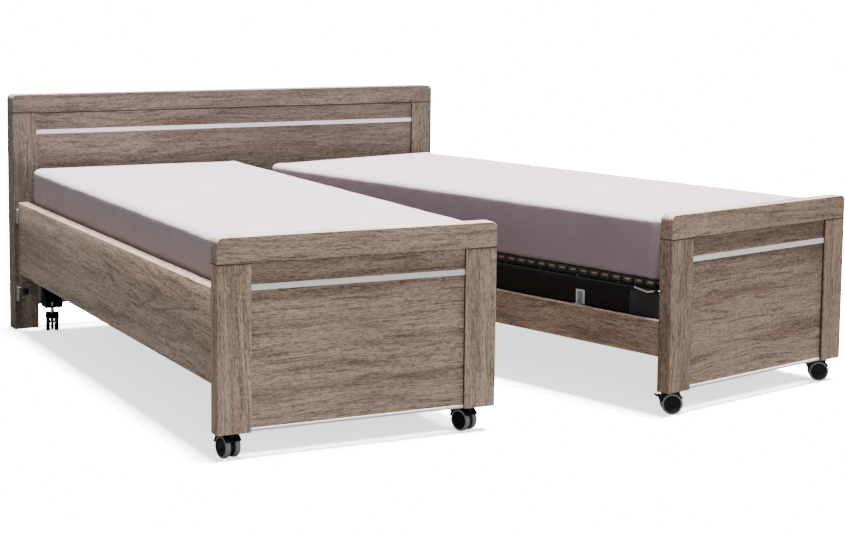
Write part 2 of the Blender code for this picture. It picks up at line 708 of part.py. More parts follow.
def centre_on_floor(bed):
    """Moves the bed so that its bounding box stands centred on the origin."""
    bpy.context.view_layer.update()
    corners = []
    for obj in bpy.data.objects:
        if obj.type == "MESH" and not obj.hide_render:
            corners += [obj.matrix_world @ vert.co for vert in obj.data.vertices]
    x_values = [c.x for c in corners]
    y_values = [c.y for c in corners]
    bed.location.x -= (min(x_values) + max(x_values)) / 2.0
    bed.location.y -= (min(y_values) + max(y_values)) / 2.0


def main():
    clear_scene()
    bed = empty("bed", None)
    headboard(bed)
    for name, sign in (("left", 1.0), ("right", -1.0)):
        hinge_rod(bed, name, sign)
        single_bed(bed, name, sign)
    centre_on_floor(bed)
    bpy.context.view_layer.update()


main()
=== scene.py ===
"""Looks of the adjustable double care bed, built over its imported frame.

Every piece is worked out in a single bed's own frame, where x runs from the outer side to the
inner side, y runs from the foot (negative) to the hinge axis (0) and z is up, or in a castor's
own frame, where x is the axle and y the way it trails. It is then put in its place.
"""

import json
import math

import bmesh
import bpy
import numpy as np
from mathutils import Matrix, Vector


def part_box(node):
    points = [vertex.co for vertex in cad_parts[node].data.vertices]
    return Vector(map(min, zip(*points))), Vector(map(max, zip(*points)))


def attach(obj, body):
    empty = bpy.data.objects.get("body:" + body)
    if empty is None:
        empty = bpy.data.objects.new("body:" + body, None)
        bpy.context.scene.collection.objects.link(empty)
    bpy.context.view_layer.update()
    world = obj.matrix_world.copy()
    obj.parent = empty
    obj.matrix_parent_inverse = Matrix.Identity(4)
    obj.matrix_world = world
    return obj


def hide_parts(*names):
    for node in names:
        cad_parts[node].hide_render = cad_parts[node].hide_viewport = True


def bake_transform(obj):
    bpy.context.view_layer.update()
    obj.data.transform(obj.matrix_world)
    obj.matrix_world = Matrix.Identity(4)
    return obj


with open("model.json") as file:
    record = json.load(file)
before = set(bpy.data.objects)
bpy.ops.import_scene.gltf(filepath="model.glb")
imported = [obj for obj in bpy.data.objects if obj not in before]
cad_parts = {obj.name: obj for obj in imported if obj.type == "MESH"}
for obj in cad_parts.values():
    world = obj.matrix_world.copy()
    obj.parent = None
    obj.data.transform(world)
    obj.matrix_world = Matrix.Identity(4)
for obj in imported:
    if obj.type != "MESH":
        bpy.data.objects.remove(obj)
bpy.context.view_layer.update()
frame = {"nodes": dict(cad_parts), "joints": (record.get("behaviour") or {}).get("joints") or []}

bl_info = {
    "name": "Adjustable double care bed",
    "version": (1, 0, 0),
    "blender": (4, 5, 0),
    "location": "3D View > Sidebar > Care Bed",
    "description": "Builds the boards, mattresses, slats, drives, hinges and castors of a care bed",
    "category": "Add Mesh",
}

SIDES = ("left", "right")
CASTORS = ("foot_outer", "foot_inner", "head_outer", "head_inner")

# ------------------------------------------------------------------ sizes shared by the pieces

WIDTH = 0.878
LENGTH = 2.090
RAIL_HEAD = -0.012
FOOT_BACK = -2.042
POST_W = 0.102
FOOT_SEAM = 0.552
SEAM_HALF = 0.0015
OUTER_RAIL_T = 0.038
INNER_RAIL_X = 0.858
BEAM_Z = (0.285, 0.372)
BEAM_W = 0.028
OUTER_BEAM_X = 0.0383
INNER_BEAM_X = 0.820
BASE_ENDS = (-2.030, -0.030)
CAP_END = -2.0335
STEEL = 0.003
BARS_X = (0.046, 0.822)
BAR_W = 0.018
BAR_Z = (0.378, 0.398)
BACK_AXIS_Y = -0.750
THIGH_AXIS_Y = -0.940
KNEE_AXIS_Y = -1.272
AXIS_GAP = 0.006
SLAT_PITCH = 0.047
DRIVE_W = 0.170
MATTRESS_LOW = (0.044, -2.026, 0.4095)
MATTRESS_HIGH = (0.872, -0.030, 0.6195)
OUTER_RAIL_LOW = 0.2135
OUTER_RAIL_TOP = 0.484
OVERHANG = 0.004
SEAT_MIDDLE_Y = -0.845
THIGH_MIDDLE_Y = -1.109
WHEEL_R = 0.0335
TRAIL = 0.020
KNUCKLE_H = 0.026
HINGE_Z = (0.111, 0.405)
LEAF_GAP = 0.0006
SCREW_R = 0.0032
HEAD_CASTORS_X = (0.105, 0.805)
END_BAR_W = 0.018
SLAT_TOP = 0.4085

# The stage: how bright the floor and the sky look, how much light they give, and the lights.

WHITE = (1.0, 1.0, 1.0, 1.0)
FLOOR_REACH = 60.0
FLOOR_SEEN = (2.4, 2.4, 2.4, 1.0)
FLOOR_BOUNCE = (0.05, 0.05, 0.05, 1.0)
FLOOR_LIFT = 1.6
SKY_LIGHT = 0.34
SKY_SEEN = 22.0
OVERHEAD = 34.0
OVERHEAD_SPREAD_DEG = 20.0
OVERHEAD_TILT_DEG = 8.5
FRONT_W = 100.0
FRONT_AT = (-3.4, -6.8, 2.2)
FRONT_AIM = (-0.2, -1.0, 0.4)
FRONT_SIZE = (3.0, 2.5)
CAMERA_AT = (-3.0815, -5.6297, 1.3551)
CAMERA_PAN_TILT_ROLL_DEG = (29.1656, -6.3157, 0.6192)
CAMERA_LENS = 78.47
CAMERA_SHIFT = -0.11

# Shares of the oak colours that the boards get: painted shade, by where they stand in the light.

PLAIN_TONE = (1.0, 1.0, 1.0)
HEAD_PAINTED_SHADE = (0.52, 0.57, 0.575)
RIGHT_PAINTED_SHADE = (0.80, 0.77, 0.75)
RIGHT_RAIL_PAINTED_SHADE = (0.90, 0.86, 0.83)
MATTRESS_SHADOW_ON_RAIL = (0.50, 0.49, 0.48)


def srgb(red, green, blue):
    """A colour given as three screen values of 0 to 255, in the linear values Blender uses."""
    value = np.array((red, green, blue)) / 255.0
    linear = np.where(value <= 0.04045, value / 12.92, ((value + 0.055) / 1.055) ** 2.4)
    return tuple(float(v) for v in linear)


def colour_property(name, description, default):
    return bpy.props.FloatVectorProperty(
        name=name, description=description, subtype="COLOR", size=3, min=0.0, max=1.0, default=default
    )


def length_property(name, description, default):
    return bpy.props.FloatProperty(
        name=name, description=description, default=default, min=0.0, unit="LENGTH", precision=4
    )


class CareBedColours(bpy.types.PropertyGroup):
    """Colours of the bed's finishes."""

    oak_light: colour_property("Oak, light", "Light wood of the board laminate", srgb(186, 165, 146))
    oak_middle: colour_property("Oak, middle", "Main tone of the board laminate", srgb(160, 138, 118))
    oak_dark: colour_property("Oak, dark", "Dark grain lines of the board laminate", srgb(88, 68, 52))
    sheet: colour_property("Sheet", "Fitted sheet on the mattresses", srgb(150, 134, 141))
    inlay: colour_property("Inlay", "Pale strips in the boards", srgb(246, 244, 240))
    steel: colour_property("Steel", "Powder coat on the base", srgb(4, 4, 5))
    zinc: colour_property("Zinc", "Hinges, stems and brackets", srgb(160, 160, 157))
    plastic: colour_property("Plastic", "Castor housings and drive unit", srgb(5, 5, 6))
    cap: colour_property("Corner cap", "Grey plastic caps on the side beams", srgb(38, 38, 46))
    tread: colour_property("Tread", "Soft tread of the castor wheels", srgb(146, 144, 140))
    beech: colour_property("Beech", "Slats", srgb(164, 151, 134))


class CareBedSizes(bpy.types.PropertyGroup):
    """Sizes that a user would change."""

    board_round: length_property("Board edge", "Rounding of the boards' edges", 0.0015)
    mattress_corner: length_property("Mattress corner", "Rounding of the mattress in plan", 0.040)
    mattress_edge: length_property("Mattress edge", "Rounding of the mattress along its top", 0.024)
    mattress_mesh: length_property("Mattress mesh", "Distance between points of the mattress", 0.013)
    slat_width: length_property("Slat width", "Width of one slat", 0.030)
    slat_thickness: length_property("Slat thickness", "Thickness of one slat", 0.0065)
    slat_bow: length_property("Slat bow", "How far a slat rises in the middle", 0.004)


def colours():
    return bpy.context.scene.care_bed_colours


def sizes():
    return bpy.context.scene.care_bed_sizes


# ------------------------------------------------------------------ places


class Place:
    """A local frame: where its origin is and which way its x and y axes point. Its z is up."""

    def __init__(self, origin, x, y):
        self.origin = np.array(origin, float)
        self.axes = np.column_stack([x, y, (0.0, 0.0, 1.0)])

    def put(self, points):
        """Points of the local frame in the bed's frame: origin plus each number times its axis."""
        return np.asarray(points, float) @ self.axes.T + self.origin


def joint(name):
    return next(j for j in frame["joints"] if j["name"] == name)


def sign_of(side):
    return 1.0 if side == "left" else -1.0


def turn_of(side):
    """How far a single bed stands turned about its swing hinge, in radians."""
    return math.radians(joint("swing_" + side)["range_deg"][0]) * sign_of(side)


def bed_place(side):
    """The frame of one single bed, from its swing hinge."""
    turn = turn_of(side)
    along_x = sign_of(side) * np.array((math.cos(turn), math.sin(turn), 0.0))
    along_y = np.array((-math.sin(turn), math.cos(turn), 0.0))
    return Place(joint("swing_" + side)["pos_m"], along_x, along_y)


def fixed_place(side):
    """The same frame for a piece on the headboard, which isn't turned."""
    origin = joint("swing_" + side)["pos_m"]
    return Place(origin, (sign_of(side), 0.0, 0.0), (0.0, 1.0, 0.0))


def castor_place(spot, side):
    """The frame of one castor: its axle is x and its trail is y."""
    axle = np.array(joint(f"roll_{spot}_{side}")["axis"])
    up = np.array((0.0, 0.0, 1.0))
    return Place(joint(f"swivel_{spot}_{side}")["pos_m"], axle, np.cross(up, axle))


# ------------------------------------------------------------------ surfaces


def grid_faces(rows, columns, wrap=True):
    """Quads between neighbouring rows and columns of a grid of points, row after row."""
    row = np.arange(rows - 1)[:, None]
    column = np.arange(columns if wrap else columns - 1)[None, :]
    after = (column + 1) % columns
    corners = [row * columns + column, row * columns + after]
    corners += [(row + 1) * columns + after, (row + 1) * columns + column]
    return np.stack([np.broadcast_to(c, (rows - 1, column.size)) for c in corners], -1).reshape(-1, 4)


def loft(rings):
    """A closed body through rings of points, an array of ring, point and xyz, with flat ends."""
    rings = np.asarray(rings, float)
    count, around = rings.shape[:2]
    faces = grid_faces(count, around).tolist()
    faces.append(list(range(around))[::-1])
    faces.append(list(range((count - 1) * around, count * around)))
    return rings.reshape(-1, 3), faces


def rounded_block(low, high, radius, steps=3):
    """A box with rounded edges. Each point is its corner's ball centre plus the radius times the
    direction at a latitude and a longitude, with the four quarters of a turn kept apart."""
    low, high = np.minimum(low, high), np.maximum(low, high)
    radius = min(radius, float((high - low).min()) * 0.499)
    quarter = np.linspace(0.0, math.pi / 2.0, steps + 1)
    longitude = np.concatenate([quarter + k * math.pi / 2.0 for k in range(4)])
    side_x = np.repeat((1.0, -1.0, -1.0, 1.0), steps + 1)
    side_y = np.repeat((1.0, 1.0, -1.0, -1.0), steps + 1)
    latitude = np.concatenate([quarter - math.pi / 2.0, quarter])[:, None]
    side_z = np.repeat((-1.0, 1.0), steps + 1)[:, None]
    direction = np.stack(
        np.broadcast_arrays(
            np.cos(latitude) * np.cos(longitude), np.cos(latitude) * np.sin(longitude), np.sin(latitude)
        ),
        -1,
    )
    corner = np.stack(np.broadcast_arrays(side_x[None, :], side_y[None, :], side_z), -1)
    centre = (low + high) / 2.0
    points = centre + corner * ((high - low) / 2.0 - radius) + radius * direction
    return loft(points)


def blocks(corners, radius, steps=2):
    """Rounded blocks that share one radius, each from its low and its high corner."""
    return [rounded_block(low, high, radius, steps) for low, high in corners]


def lathe(profile, centre=(0.0, 0.0, 0.0), axis="x", segments=32):
    """Turns a profile of (place along the axis, radius) pairs about the axis. A profile whose
    first and last point are the same makes a ring."""
    profile = np.asarray(profile, float)
    angle = np.linspace(0.0, 2.0 * math.pi, segments, endpoint=False)
    along = np.broadcast_to(profile[:, :1], (len(profile), segments))
    first = profile[:, 1:] * np.cos(angle)
    second = profile[:, 1:] * np.sin(angle)
    order = {"x": (along, first, second), "y": (second, along, first), "z": (first, second, along)}
    points = np.stack(order[axis], -1) + np.array(centre)
    return points.reshape(-1, 3), grid_faces(len(profile), segments).tolist()


def rounded_outline(width, height, radius, steps=3):
    """A rectangle about (0, 0) with round corners: each corner's centre plus a quarter circle."""
    quarter = np.linspace(0.0, math.pi / 2.0, steps + 1)
    angle = np.concatenate([quarter + k * math.pi / 2.0 for k in range(4)])
    side_x = np.repeat((1.0, -1.0, -1.0, 1.0), steps + 1)
    side_y = np.repeat((1.0, 1.0, -1.0, -1.0), steps + 1)
    x = side_x * (width / 2.0 - radius) + radius * np.cos(angle)
    y = side_y * (height / 2.0 - radius) + radius * np.sin(angle)
    return np.stack([x, y], -1)


def arc_band(centre, radius, thickness, width, from_deg, to_deg, steps=16):
    """A bent band in the y-z plane: a rounded rectangle, width along x and thickness along the
    radius, carried round an arc about the centre."""
    outline = rounded_outline(width, thickness, thickness * 0.45)
    angle = np.radians(np.linspace(from_deg, to_deg, steps))[:, None]
    reach = radius + outline[None, :, 1]
    y, z = centre[0] + reach * np.cos(angle), centre[1] + reach * np.sin(angle)
    return loft(np.stack([np.broadcast_to(outline[None, :, 0], y.shape), y, z], -1))


def extruded(outline, low, high, along="y"):
    """A flat outline carried straight from low to high along one axis. The outline's numbers are
    x and z along y, y and z along x, and x and y along z."""
    outline = np.asarray(outline, float)
    ends = np.array((low, high))[:, None]
    first = np.broadcast_to(outline[None, :, 0], (2, len(outline)))
    second = np.broadcast_to(outline[None, :, 1], (2, len(outline)))
    travel = np.broadcast_to(ends, first.shape)
    order = {"x": (travel, first, second), "y": (first, travel, second), "z": (first, second, travel)}
    return loft(np.stack(order[along], -1))


def tube(path, radius, sides=12):
    """A round bar along a path of points: at each point a circle square to the path's direction."""
    path = np.asarray(path, float)
    ahead = np.gradient(path, axis=0)
    ahead /= np.linalg.norm(ahead, axis=1, keepdims=True)
    spare = np.array((1.0, 0.0, 0.0)) if abs(ahead[0, 0]) < 0.7 else np.array((0.0, 0.0, 1.0))
    across = np.cross(ahead, spare)
    across /= np.linalg.norm(across, axis=1, keepdims=True)
    upward = np.cross(ahead, across)
    angle = np.linspace(0.0, 2.0 * math.pi, sides, endpoint=False)[None, :, None]
    rings = path[:, None] + radius * (np.cos(angle) * across[:, None] + np.sin(angle) * upward[:, None])
    return loft(rings)


def screw_head(centre, radius, axis="x", facing=1.0):
    """A pan head with a shallow dish: a turned profile that rises, domes and dips in the middle."""
    rise = radius * 0.5 * facing
    profile = [
        (-rise * 0.4, 0.0), (-rise * 0.4, radius), (rise * 0.3, radius), (rise * 0.8, radius * 0.8),
        (rise, radius * 0.45), (rise * 0.5, radius * 0.35), (rise * 0.5, 0.0),
    ]
    return lathe(profile, centre, axis, segments=12)


def merged_mesh(name, parts):
    """One mesh from closed parts, with doubles merged and faces turned outwards."""
    points, faces, count = [], [], 0
    for verts, polygons in parts:
        points.append(verts)
        faces += [[i + count for i in polygon] for polygon in polygons]
        count += len(verts)
    mesh = bpy.data.meshes.new(name)
    mesh.from_pydata(np.concatenate(points).tolist(), [], faces)
    work = bmesh.new()
    work.from_mesh(mesh)
    bmesh.ops.remove_doubles(work, verts=work.verts, dist=0.000002)
    bmesh.ops.recalc_face_normals(work, faces=work.faces)
    work.to_mesh(mesh)
    work.free()
    return mesh


def linked(name, data):
    """A new object in the scene."""
    made = bpy.data.objects.new(name, data)
    bpy.context.scene.collection.objects.link(made)
    return made


def finished(name, mesh, finish, smooth_deg):
    """An object from a mesh, shaded smooth up to an angle and given its finish."""
    mesh.shade_smooth()
    mesh.set_sharp_from_angle(angle=math.radians(smooth_deg))
    mesh.materials.append(finish)
    return linked(name, mesh)


def piece(name, parts, place, finish, body, smooth_deg=35.0, stands_for=()):
    """Puts parts in their place as one object with its finish, and lets it ride on a body."""
    mesh = merged_mesh(name, [(place.put(verts), faces) for verts, faces in parts])
    made = finished(name, mesh, finish, smooth_deg)
    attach(made, body)
    if stands_for:
        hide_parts(*stands_for)
    return made


def soften(obj):
    """A live bevel on sharp edges."""
    step = obj.modifiers.new("soft_edges", "BEVEL")
    step.width = 0.0008
    step.segments = 1
    step.limit_method = "ANGLE"
    step.angle_limit = math.radians(40.0)


# ------------------------------------------------------------------ finishes


class Net:
    """Adds and joins nodes in one node tree."""

    def __init__(self, tree):
        self.tree = tree

    def add(self, kind, inputs=None, **settings):
        node = self.tree.nodes.new(kind)
        for key, value in settings.items():
            setattr(node, key, value)
        for key, value in (inputs or {}).items():
            self.feed(node.inputs[key], value)
        return node

    def feed(self, socket, value):
        if isinstance(value, bpy.types.NodeSocket):
            self.tree.links.new(value, socket)
        else:
            socket.default_value = value

    def math(self, operation, first, second=0.0):
        return self.add("ShaderNodeMath", {0: first, 1: second}, operation=operation).outputs[0]

    def vector(self, operation, first, second=(0.0, 0.0, 0.0)):
        return self.add("ShaderNodeVectorMath", {0: first, 1: second}, operation=operation).outputs[0]

    def noise(self, vector, scale, detail=2.0, roughness=0.5, output="Fac"):
        inputs = {"Vector": vector, "Scale": scale, "Detail": detail, "Roughness": roughness}
        return self.add("ShaderNodeTexNoise", inputs).outputs[output]

    def spread(self, value, low, high, to_low=0.0, to_high=1.0):
        """A value from low to high, moved to the range to_low to to_high and held inside it."""
        inputs = {"Value": value, "From Min": low, "From Max": high, "To Min": to_low, "To Max": to_high}
        return self.add("ShaderNodeMapRange", inputs).outputs[0]

    def mix(self, share, first, second, blend="MIX"):
        node = self.add("ShaderNodeMix", data_type="RGBA", blend_type=blend)
        self.feed(node.inputs[0], share)
        self.feed(node.inputs[6], first)
        self.feed(node.inputs[7], second)
        return node.outputs[2]


def new_group(name, inputs, outputs):
    """A node group with typed sockets, each given as (name, type, default)."""
    group = bpy.data.node_groups.new(name, "ShaderNodeTree")
    for label, kind, default in inputs:
        socket = group.interface.new_socket(label, in_out="INPUT", socket_type=kind)
        if default is not None:
            socket.default_value = default
    for label, kind in outputs:
        group.interface.new_socket(label, in_out="OUTPUT", socket_type=kind)
    net = Net(group)
    return group, net, net.add("NodeGroupInput").outputs, net.add("NodeGroupOutput").inputs


VECTOR, COLOUR, VALUE = "NodeSocketVector", "NodeSocketColor", "NodeSocketFloat"


def oak_group():
    """Sawn oak decor. Contour lines of a slow noise stretched along the grain make the flame
    figure, a faster stretched noise makes streaks, short thin noise makes pores, and a noise
    stretched across the grain makes the saw marks."""
    found = bpy.data.node_groups.get("Oak grain")
    if found:
        return found
    group, net, given, result = new_group(
        "Oak grain",
        [
            ("Vector", VECTOR, None), ("Light", COLOUR, (0.5, 0.4, 0.3, 1.0)),
            ("Middle", COLOUR, (0.35, 0.28, 0.2, 1.0)), ("Dark", COLOUR, (0.15, 0.1, 0.07, 1.0)),
        ],
        [("Color", COLOUR), ("Roughness", VALUE), ("Height", VALUE)],
    )
    along = given["Vector"]
    drift = net.noise(net.vector("MULTIPLY", along, (1.5, 4.0, 4.0)), 1.0, 2.0, output="Color")
    drift = net.vector("SUBTRACT", drift, (0.5, 0.5, 0.5))
    bent = net.vector("ADD", along, net.vector("MULTIPLY", drift, (0.0, 0.09, 0.09)))
    slow = net.noise(net.vector("MULTIPLY", bent, (0.6, 5.0, 5.0)), 1.0, 1.5, 0.45)
    contour = net.math("SINE", net.math("MULTIPLY", slow, 95.0))
    flame_share = net.spread(net.noise(net.vector("MULTIPLY", bent, (1.3, 3.4, 3.4)), 1.0), 0.45, 0.62)
    flame = net.math("MULTIPLY", net.spread(contour, 0.50, 1.0), flame_share)
    streak = net.noise(net.vector("MULTIPLY", bent, (1.4, 26.0, 26.0)), 1.0, 5.0, 0.55)
    lines = net.noise(net.vector("MULTIPLY", bent, (3.6, 150.0, 150.0)), 1.0, 4.0, 0.65)
    fine = net.noise(net.vector("MULTIPLY", bent, (26.0, 380.0, 380.0)), 1.0, 3.0, 0.6)
    speckle = net.noise(net.vector("MULTIPLY", bent, (62.0, 270.0, 270.0)), 1.0, 2.0, 0.6)
    saw = net.noise(net.vector("MULTIPLY", along, (260.0, 22.0, 22.0)), 1.0, 2.0, 0.5)
    patch = net.noise(net.vector("MULTIPLY", along, (2.2, 5.0, 5.0)), 1.0, 2.0)
    pores = net.noise(net.vector("MULTIPLY", bent, (110.0, 620.0, 620.0)), 1.0, 1.0, 0.4)
    pores = net.spread(pores, 0.56, 0.68)
    where = net.spread(patch, 0.40, 0.60, 0.25, 1.0)
    saw_share = net.math("MULTIPLY", net.spread(saw, 0.48, 0.72), where)
    colour = net.mix(net.spread(streak, 0.36, 0.62), given["Middle"], given["Light"])
    colour = net.mix(net.spread(streak, 0.46, 0.33, 0.0, 0.44), colour, given["Dark"])
    colour = net.mix(net.math("MULTIPLY", flame, 0.42), colour, given["Dark"])
    colour = net.mix(net.spread(lines, 0.51, 0.66, 0.0, 0.85), colour, given["Dark"])
    colour = net.mix(net.spread(fine, 0.48, 0.70, 0.0, 0.62), colour, given["Dark"])
    colour = net.mix(net.spread(speckle, 0.50, 0.66, 0.0, 0.55), colour, given["Dark"])
    colour = net.mix(net.spread(speckle, 0.48, 0.32, 0.0, 0.50), colour, given["Light"])
    colour = net.mix(net.math("MULTIPLY", saw_share, 0.26), colour, given["Light"])
    colour = net.mix(net.math("MULTIPLY", pores, 0.50), colour, given["Dark"])
    tone = net.spread(patch, 0.30, 0.70, 0.90, 1.08)
    shade = net.add("ShaderNodeCombineColor", {0: tone, 1: tone, 2: tone}).outputs[0]
    net.feed(result["Color"], net.mix(1.0, colour, shade, "MULTIPLY"))
    net.feed(result["Roughness"], net.spread(fine, 0.3, 0.7, 0.50, 0.66))
    depth = net.math("ADD", net.math("MULTIPLY", lines, 0.5), net.math("MULTIPLY", saw_share, 0.35))
    depth = net.math("SUBTRACT", depth, net.math("MULTIPLY", net.math("ADD", pores, flame), 0.4))
    net.feed(result["Height"], depth)
    return group


def grain_group():
    """Fine cast or coated grain: two noises for the bumps, one slow noise for worn patches."""
    found = bpy.data.node_groups.get("Fine grain")
    if found:
        return found
    group, net, given, result = new_group(
        "Fine grain",
        [
            ("Vector", VECTOR, None), ("Base", COLOUR, (0.1, 0.1, 0.1, 1.0)), ("Size", VALUE, 900.0),
            ("Low", VALUE, 0.35), ("High", VALUE, 0.55), ("Wear", VALUE, 0.15),
        ],
        [("Color", COLOUR), ("Roughness", VALUE), ("Height", VALUE)],
    )
    small = net.noise(given["Vector"], given["Size"], 2.0, 0.6)
    slow = net.noise(given["Vector"], 14.0, 4.0, 0.6)
    dust = net.math("MULTIPLY", net.spread(slow, 0.45, 0.75), given["Wear"])
    net.feed(result["Color"], net.mix(dust, given["Base"], (0.5, 0.49, 0.47, 1.0)))
    rough = net.add("ShaderNodeMapRange", {0: slow, 1: 0.3, 2: 0.7, 3: given["Low"], 4: given["High"]})
    net.feed(result["Roughness"], rough.outputs[0])
    net.feed(result["Height"], small)
    return group


def brushed_group():
    """Drawn metal: a noise stretched far along x gives the drawing lines."""
    found = bpy.data.node_groups.get("Drawn metal")
    if found:
        return found
    group, net, given, result = new_group(
        "Drawn metal",
        [("Vector", VECTOR, None), ("Base", COLOUR, (0.7, 0.7, 0.7, 1.0)), ("Low", VALUE, 0.25)],
        [("Color", COLOUR), ("Roughness", VALUE), ("Height", VALUE)],
    )
    lines = net.noise(net.vector("MULTIPLY", given["Vector"], (6.0, 900.0, 900.0)), 1.0, 3.0, 0.6)
    smear = net.noise(given["Vector"], 22.0, 3.0)
    darker = net.mix(1.0, given["Base"], (0.82, 0.82, 0.83, 1.0), "MULTIPLY")
    net.feed(result["Color"], net.mix(net.spread(lines, 0.3, 0.75), given["Base"], darker))
    rough = net.math("ADD", given["Low"], net.spread(net.math("ADD", lines, smear), 0.7, 1.3, 0.0, 0.22))
    net.feed(result["Roughness"], rough)
    net.feed(result["Height"], lines)
    return group


def cloth_group():
    """Jersey: two crossed waves make the loops, and slow noise makes the soft creases."""
    found = bpy.data.node_groups.get("Jersey")
    if found:
        return found
    group, net, given, result = new_group(
        "Jersey",
        [("Vector", VECTOR, None), ("Base", COLOUR, (0.6, 0.55, 0.58, 1.0)), ("Crease", VALUE, 1.0)],
        [("Color", COLOUR), ("Roughness", VALUE), ("Height", VALUE), ("Folds", VALUE)],
    )
    vector = given["Vector"]
    part = net.add("ShaderNodeSeparateXYZ", {0: vector}).outputs
    loops = 2.0 * math.pi / 0.0016
    first = net.math("SINE", net.math("MULTIPLY", net.math("ADD", part[0], part[2]), loops))
    second = net.math("SINE", net.math("MULTIPLY", net.math("ADD", part[1], part[2]), loops))
    loop = net.math("MULTIPLY", net.math("ADD", first, second), 0.25)
    yarn = net.noise(net.vector("MULTIPLY", vector, (420.0, 130.0, 420.0)), 1.0, 3.0, 0.6)
    net.feed(result["Height"], net.math("ADD", loop, yarn))
    folds = net.noise(net.vector("MULTIPLY", vector, (3.2, 7.5, 5.0)), 1.0, 4.0, 0.5)
    net.feed(result["Folds"], net.math("MULTIPLY", folds, given["Crease"]))
    slow = net.noise(vector, 5.0, 3.0)
    tone = net.spread(net.math("ADD", net.math("MULTIPLY", yarn, 0.4), slow), 0.45, 0.95, 0.94, 1.03)
    shade = net.add("ShaderNodeCombineColor", {0: tone, 1: tone, 2: tone}).outputs[0]
    net.feed(result["Color"], net.mix(1.0, given["Base"], shade, "MULTIPLY"))
    net.feed(result["Roughness"], net.spread(slow, 0.3, 0.7, 0.78, 0.92))
    return group


def new_material(name):
    """A new material, with its nodes and its Principled shader."""
    made = bpy.data.materials.new(name)
    made.use_nodes = True
    net = Net(made.node_tree)
    shader = made.node_tree.nodes["Principled BSDF"]
    return made, net, shader


def mapped(net, rotation=(0.0, 0.0, 0.0), offset=(0.0, 0.0, 0.0)):
    """Object coordinates, turned so that x runs along the grain, then shifted."""
    where = net.add("ShaderNodeTexCoord").outputs["Object"]
    inputs = {"Vector": where, "Location": offset, "Rotation": rotation}
    return net.add("ShaderNodeMapping", inputs).outputs[0]


def grain_rotation(side, along):
    """Turns object coordinates so that x lies along the board's grain."""
    turn = 0.0 if side is None else turn_of(side)
    to_local = Matrix.Rotation(-turn, 3, "Z")
    onto_x = {
        "x": Matrix.Identity(3), "y": Matrix.Rotation(-math.pi / 2.0, 3, "Z"),
        "z": Matrix.Rotation(math.pi / 2.0, 3, "Y"),
    }[along]
    return tuple((onto_x @ to_local).to_euler("XYZ"))


def with_bump(net, height, strength, distance, under=None):
    """A normal bumped by a height, on top of an earlier normal if there is one."""
    inputs = {"Height": height, "Strength": strength, "Distance": distance}
    if under is not None:
        inputs["Normal"] = under
    return net.add("ShaderNodeBump", inputs).outputs[0]


def rgba(value):
    return (value[0], value[1], value[2], 1.0)


def grouped(name, tree, where, values, bump, distance):
    """A material whose colour, roughness and bump come from a node group. Where is the turn and
    the shift of the coordinates that the group is given."""
    made, net, shader = new_material(name)
    group = net.add("ShaderNodeGroup", {"Vector": mapped(net, *where), **values}, node_tree=tree)
    net.feed(shader.inputs["Base Color"], group.outputs["Color"])
    net.feed(shader.inputs["Roughness"], group.outputs["Roughness"])
    net.feed(shader.inputs["Normal"], with_bump(net, group.outputs["Height"], bump, distance))
    return made, net, shader, group


def oak(name, side, along, offset, tone=PLAIN_TONE):
    """Oak laminate whose grain runs along one axis of the board, its colours times the tone; a tone below
    one paints shade on boards that stand out of the light.
    """
    kinds = (("Light", "oak_light"), ("Middle", "oak_middle"), ("Dark", "oak_dark"))
    values = {}
    for socket, colour in kinds:
        values[socket] = rgba([v * share for v, share in zip(getattr(colours(), colour), tone)])
    where = (grain_rotation(side, along), offset)
    made, _, shader, _ = grouped("oak_" + name, oak_group(), where, values, 0.35, 0.0006)
    shader.inputs["Specular IOR Level"].default_value = 0.35
    return made


def coated(name, base, size, low, high, wear, bump):
    """A moulded, cast or powder-coated finish with a fine grain."""
    found = bpy.data.materials.get(name)
    if found:
        return found
    values = {"Base": rgba(base), "Size": size, "Low": low, "High": high, "Wear": wear}
    made, _, shader, _ = grouped(name, grain_group(), (), values, bump, 0.0004)
    shader.inputs["Specular IOR Level"].default_value = 0.3
    return made


def drawn(name, base, side=None, along="x", low=0.25):
    """Drawn or zinc-plated metal with lines along one axis."""
    found = bpy.data.materials.get(name)
    if found:
        return found
    values = {"Base": rgba(base), "Low": low}
    where = (grain_rotation(side, along),)
    made, _, shader, _ = grouped(name, brushed_group(), where, values, 0.06, 0.0003)
    shader.inputs["Metallic"].default_value = 1.0
    return made


def sheet_finish(side):
    """The fitted sheet's jersey, squared up with its own single bed: loops over soft folds."""
    values = {"Base": rgba(colours().sheet), "Crease": 1.0}
    where = (grain_rotation(side, "x"),)
    made, net, shader, group = grouped("sheet_" + side, cloth_group(), where, values, 0.3, 0.0006)
    loops = shader.inputs["Normal"].links[0].from_node
    net.feed(loops.inputs["Normal"], with_bump(net, group.outputs["Folds"], 0.35, 0.012))
    shader.inputs["Sheen Weight"].default_value = 0.08
    shader.inputs["Sheen Roughness"].default_value = 0.5
    shader.inputs["Specular IOR Level"].default_value = 0.2
    return made


def steel_finish():
    return coated("black_powder_coat", colours().steel, 1400.0, 0.42, 0.6, 0.003, 0.15)


def zinc_finish():
    return drawn("zinc_plate", colours().zinc, low=0.28)


def plastic_finish():
    return coated("black_moulding", colours().plastic, 2200.0, 0.32, 0.5, 0.006, 0.1)


def inlay_finish():
    return coated("pale_inlay", colours().inlay, 1800.0, 0.25, 0.4, 0.002, 0.05)


